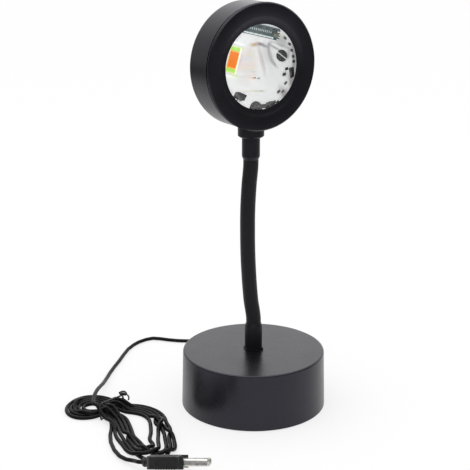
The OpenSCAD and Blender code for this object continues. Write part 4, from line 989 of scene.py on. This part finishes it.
cordData.materials.append(cablePvc)
fitPiece(usbCord, "base", "cable_jacket", "cord_lead", "cord_hank", "cord_tail")

# floor and light: a pale sweep under an even white sky
studio = {"sky": 1.0, "frontGloss": 0.16, "backGloss": 1.35, "topGloss": 2.2, "lamp": 1.2, "lampSize": 0.5,
          "lampAt": (-0.15, -0.1, 1.2), "floorHalf": 3, "floor": "#f2f2f2", "floorKeep": 0.35,
          "floorGlow": 0.68, "near": 0.22, "far": 1.1, "farGloss": 0.2}


def studioFloor():
    half = studio["floorHalf"]
    mesh = bpy.data.meshes.new("floor")
    mesh.from_pydata(
        [(-half, -half, 0), (half, -half, 0), (half, half, 0), (-half, half, 0)], [], [(0, 1, 2, 3)])
    material, tree = emptyMaterial("pale_floor")
    ray = put(tree, "LightPath").outputs
    seen = put(tree, "Math", {0: ray["Is Camera Ray"], 1: ray["Is Glossy Ray"]}, operation="MAXIMUM")
    seen = put(tree, "Math", {0: seen, 1: ray["Is Transmission Ray"]}, operation="MAXIMUM")
    matt = put(tree, "BsdfDiffuse", {"Color": linear(studio["floor"])})
    dim = [c * studio["floorKeep"] for c in linear(studio["floor"])[:3]]
    part = put(tree, "BsdfDiffuse", {"Color": dim + [1]})
    glow = put(tree, "Emission", {"Color": (1, 1, 1, 1), "Strength": studio["floorGlow"]})
    bright = put(tree, "AddShader", {0: part, 1: glow})
    # in reflections the sweep is white near the lamp and behind it, and fades to the dim room in front
    where = put(
        tree, "Mapping",
        {"Vector": put(tree, "TexCoord").outputs["Object"], "Location": (0, 0.35, 0), "Scale": (1, 1.6, 1)},
        vector_type="TEXTURE")
    reach = put(tree, "VectorMath", {0: where}, operation="LENGTH").outputs["Value"]
    fade = put(
        tree, "MapRange", {"Value": reach, "From Min": studio["near"], "From Max": studio["far"]},
        interpolation_type="SMOOTHSTEP")
    dimmed = put(tree, "Math", {0: fade, 1: ray["Is Glossy Ray"]}, operation="MULTIPLY")
    room = put(tree, "Emission", {"Color": (1, 1, 1, 1), "Strength": studio["farGloss"]})
    shown = put(tree, "MixShader", {0: dimmed, 1: bright, 2: room})
    both = put(tree, "MixShader", {0: seen, 1: matt, 2: shown})
    put(tree, "OutputMaterial", {"Surface": both})
    mesh.materials.append(material)
    floor = bpy.data.objects.new("floor", mesh)
    link(floor)


def studioSky():
    world = bpy.data.worlds.new("studio")
    bpy.context.scene.world = world
    world.use_nodes = True
    tree = world.node_tree
    tree.nodes.clear()
    ray = put(tree, "LightPath").outputs
    way = put(tree, "SeparateXYZ", {0: put(tree, "TexCoord").outputs["Generated"]}).outputs
    behind = put(
        tree, "MapRange",
        {
            "Value": way["Y"], "From Min": 0.2, "From Max": 0.85, "To Min": studio["frontGloss"],
            "To Max": studio["backGloss"]})
    above = put(
        tree, "MapRange",
        {"Value": way["Z"], "From Min": 0.35, "From Max": 0.9, "To Max": studio["topGloss"]})
    gloss = put(tree, "Math", {0: behind, 1: above}, operation="MAXIMUM")
    plain = put(tree, "Background", {"Color": (1, 1, 1, 1), "Strength": studio["sky"]})
    shaded = put(tree, "Background", {"Color": (1, 1, 1, 1), "Strength": gloss})
    both = put(tree, "MixShader", {0: ray["Is Glossy Ray"], 1: plain, 2: shaded})
    put(tree, "OutputWorld", {"Surface": both})


def softLamp():
    data = bpy.data.lights.new("soft_lamp", "AREA")
    data.energy = studio["lamp"]
    data.size = studio["lampSize"]
    lamp = bpy.data.objects.new("soft_lamp", data)
    lamp.location = studio["lampAt"]
    lamp.rotation_euler = (Vector((0, 0, 0.1)) - lamp.location).to_track_quat("-Z", "Y").to_euler()
    link(lamp)


studioFloor()
studioSky()
softLamp()
bpy.context.scene.view_settings.view_transform = "Standard"
print("studio lit")
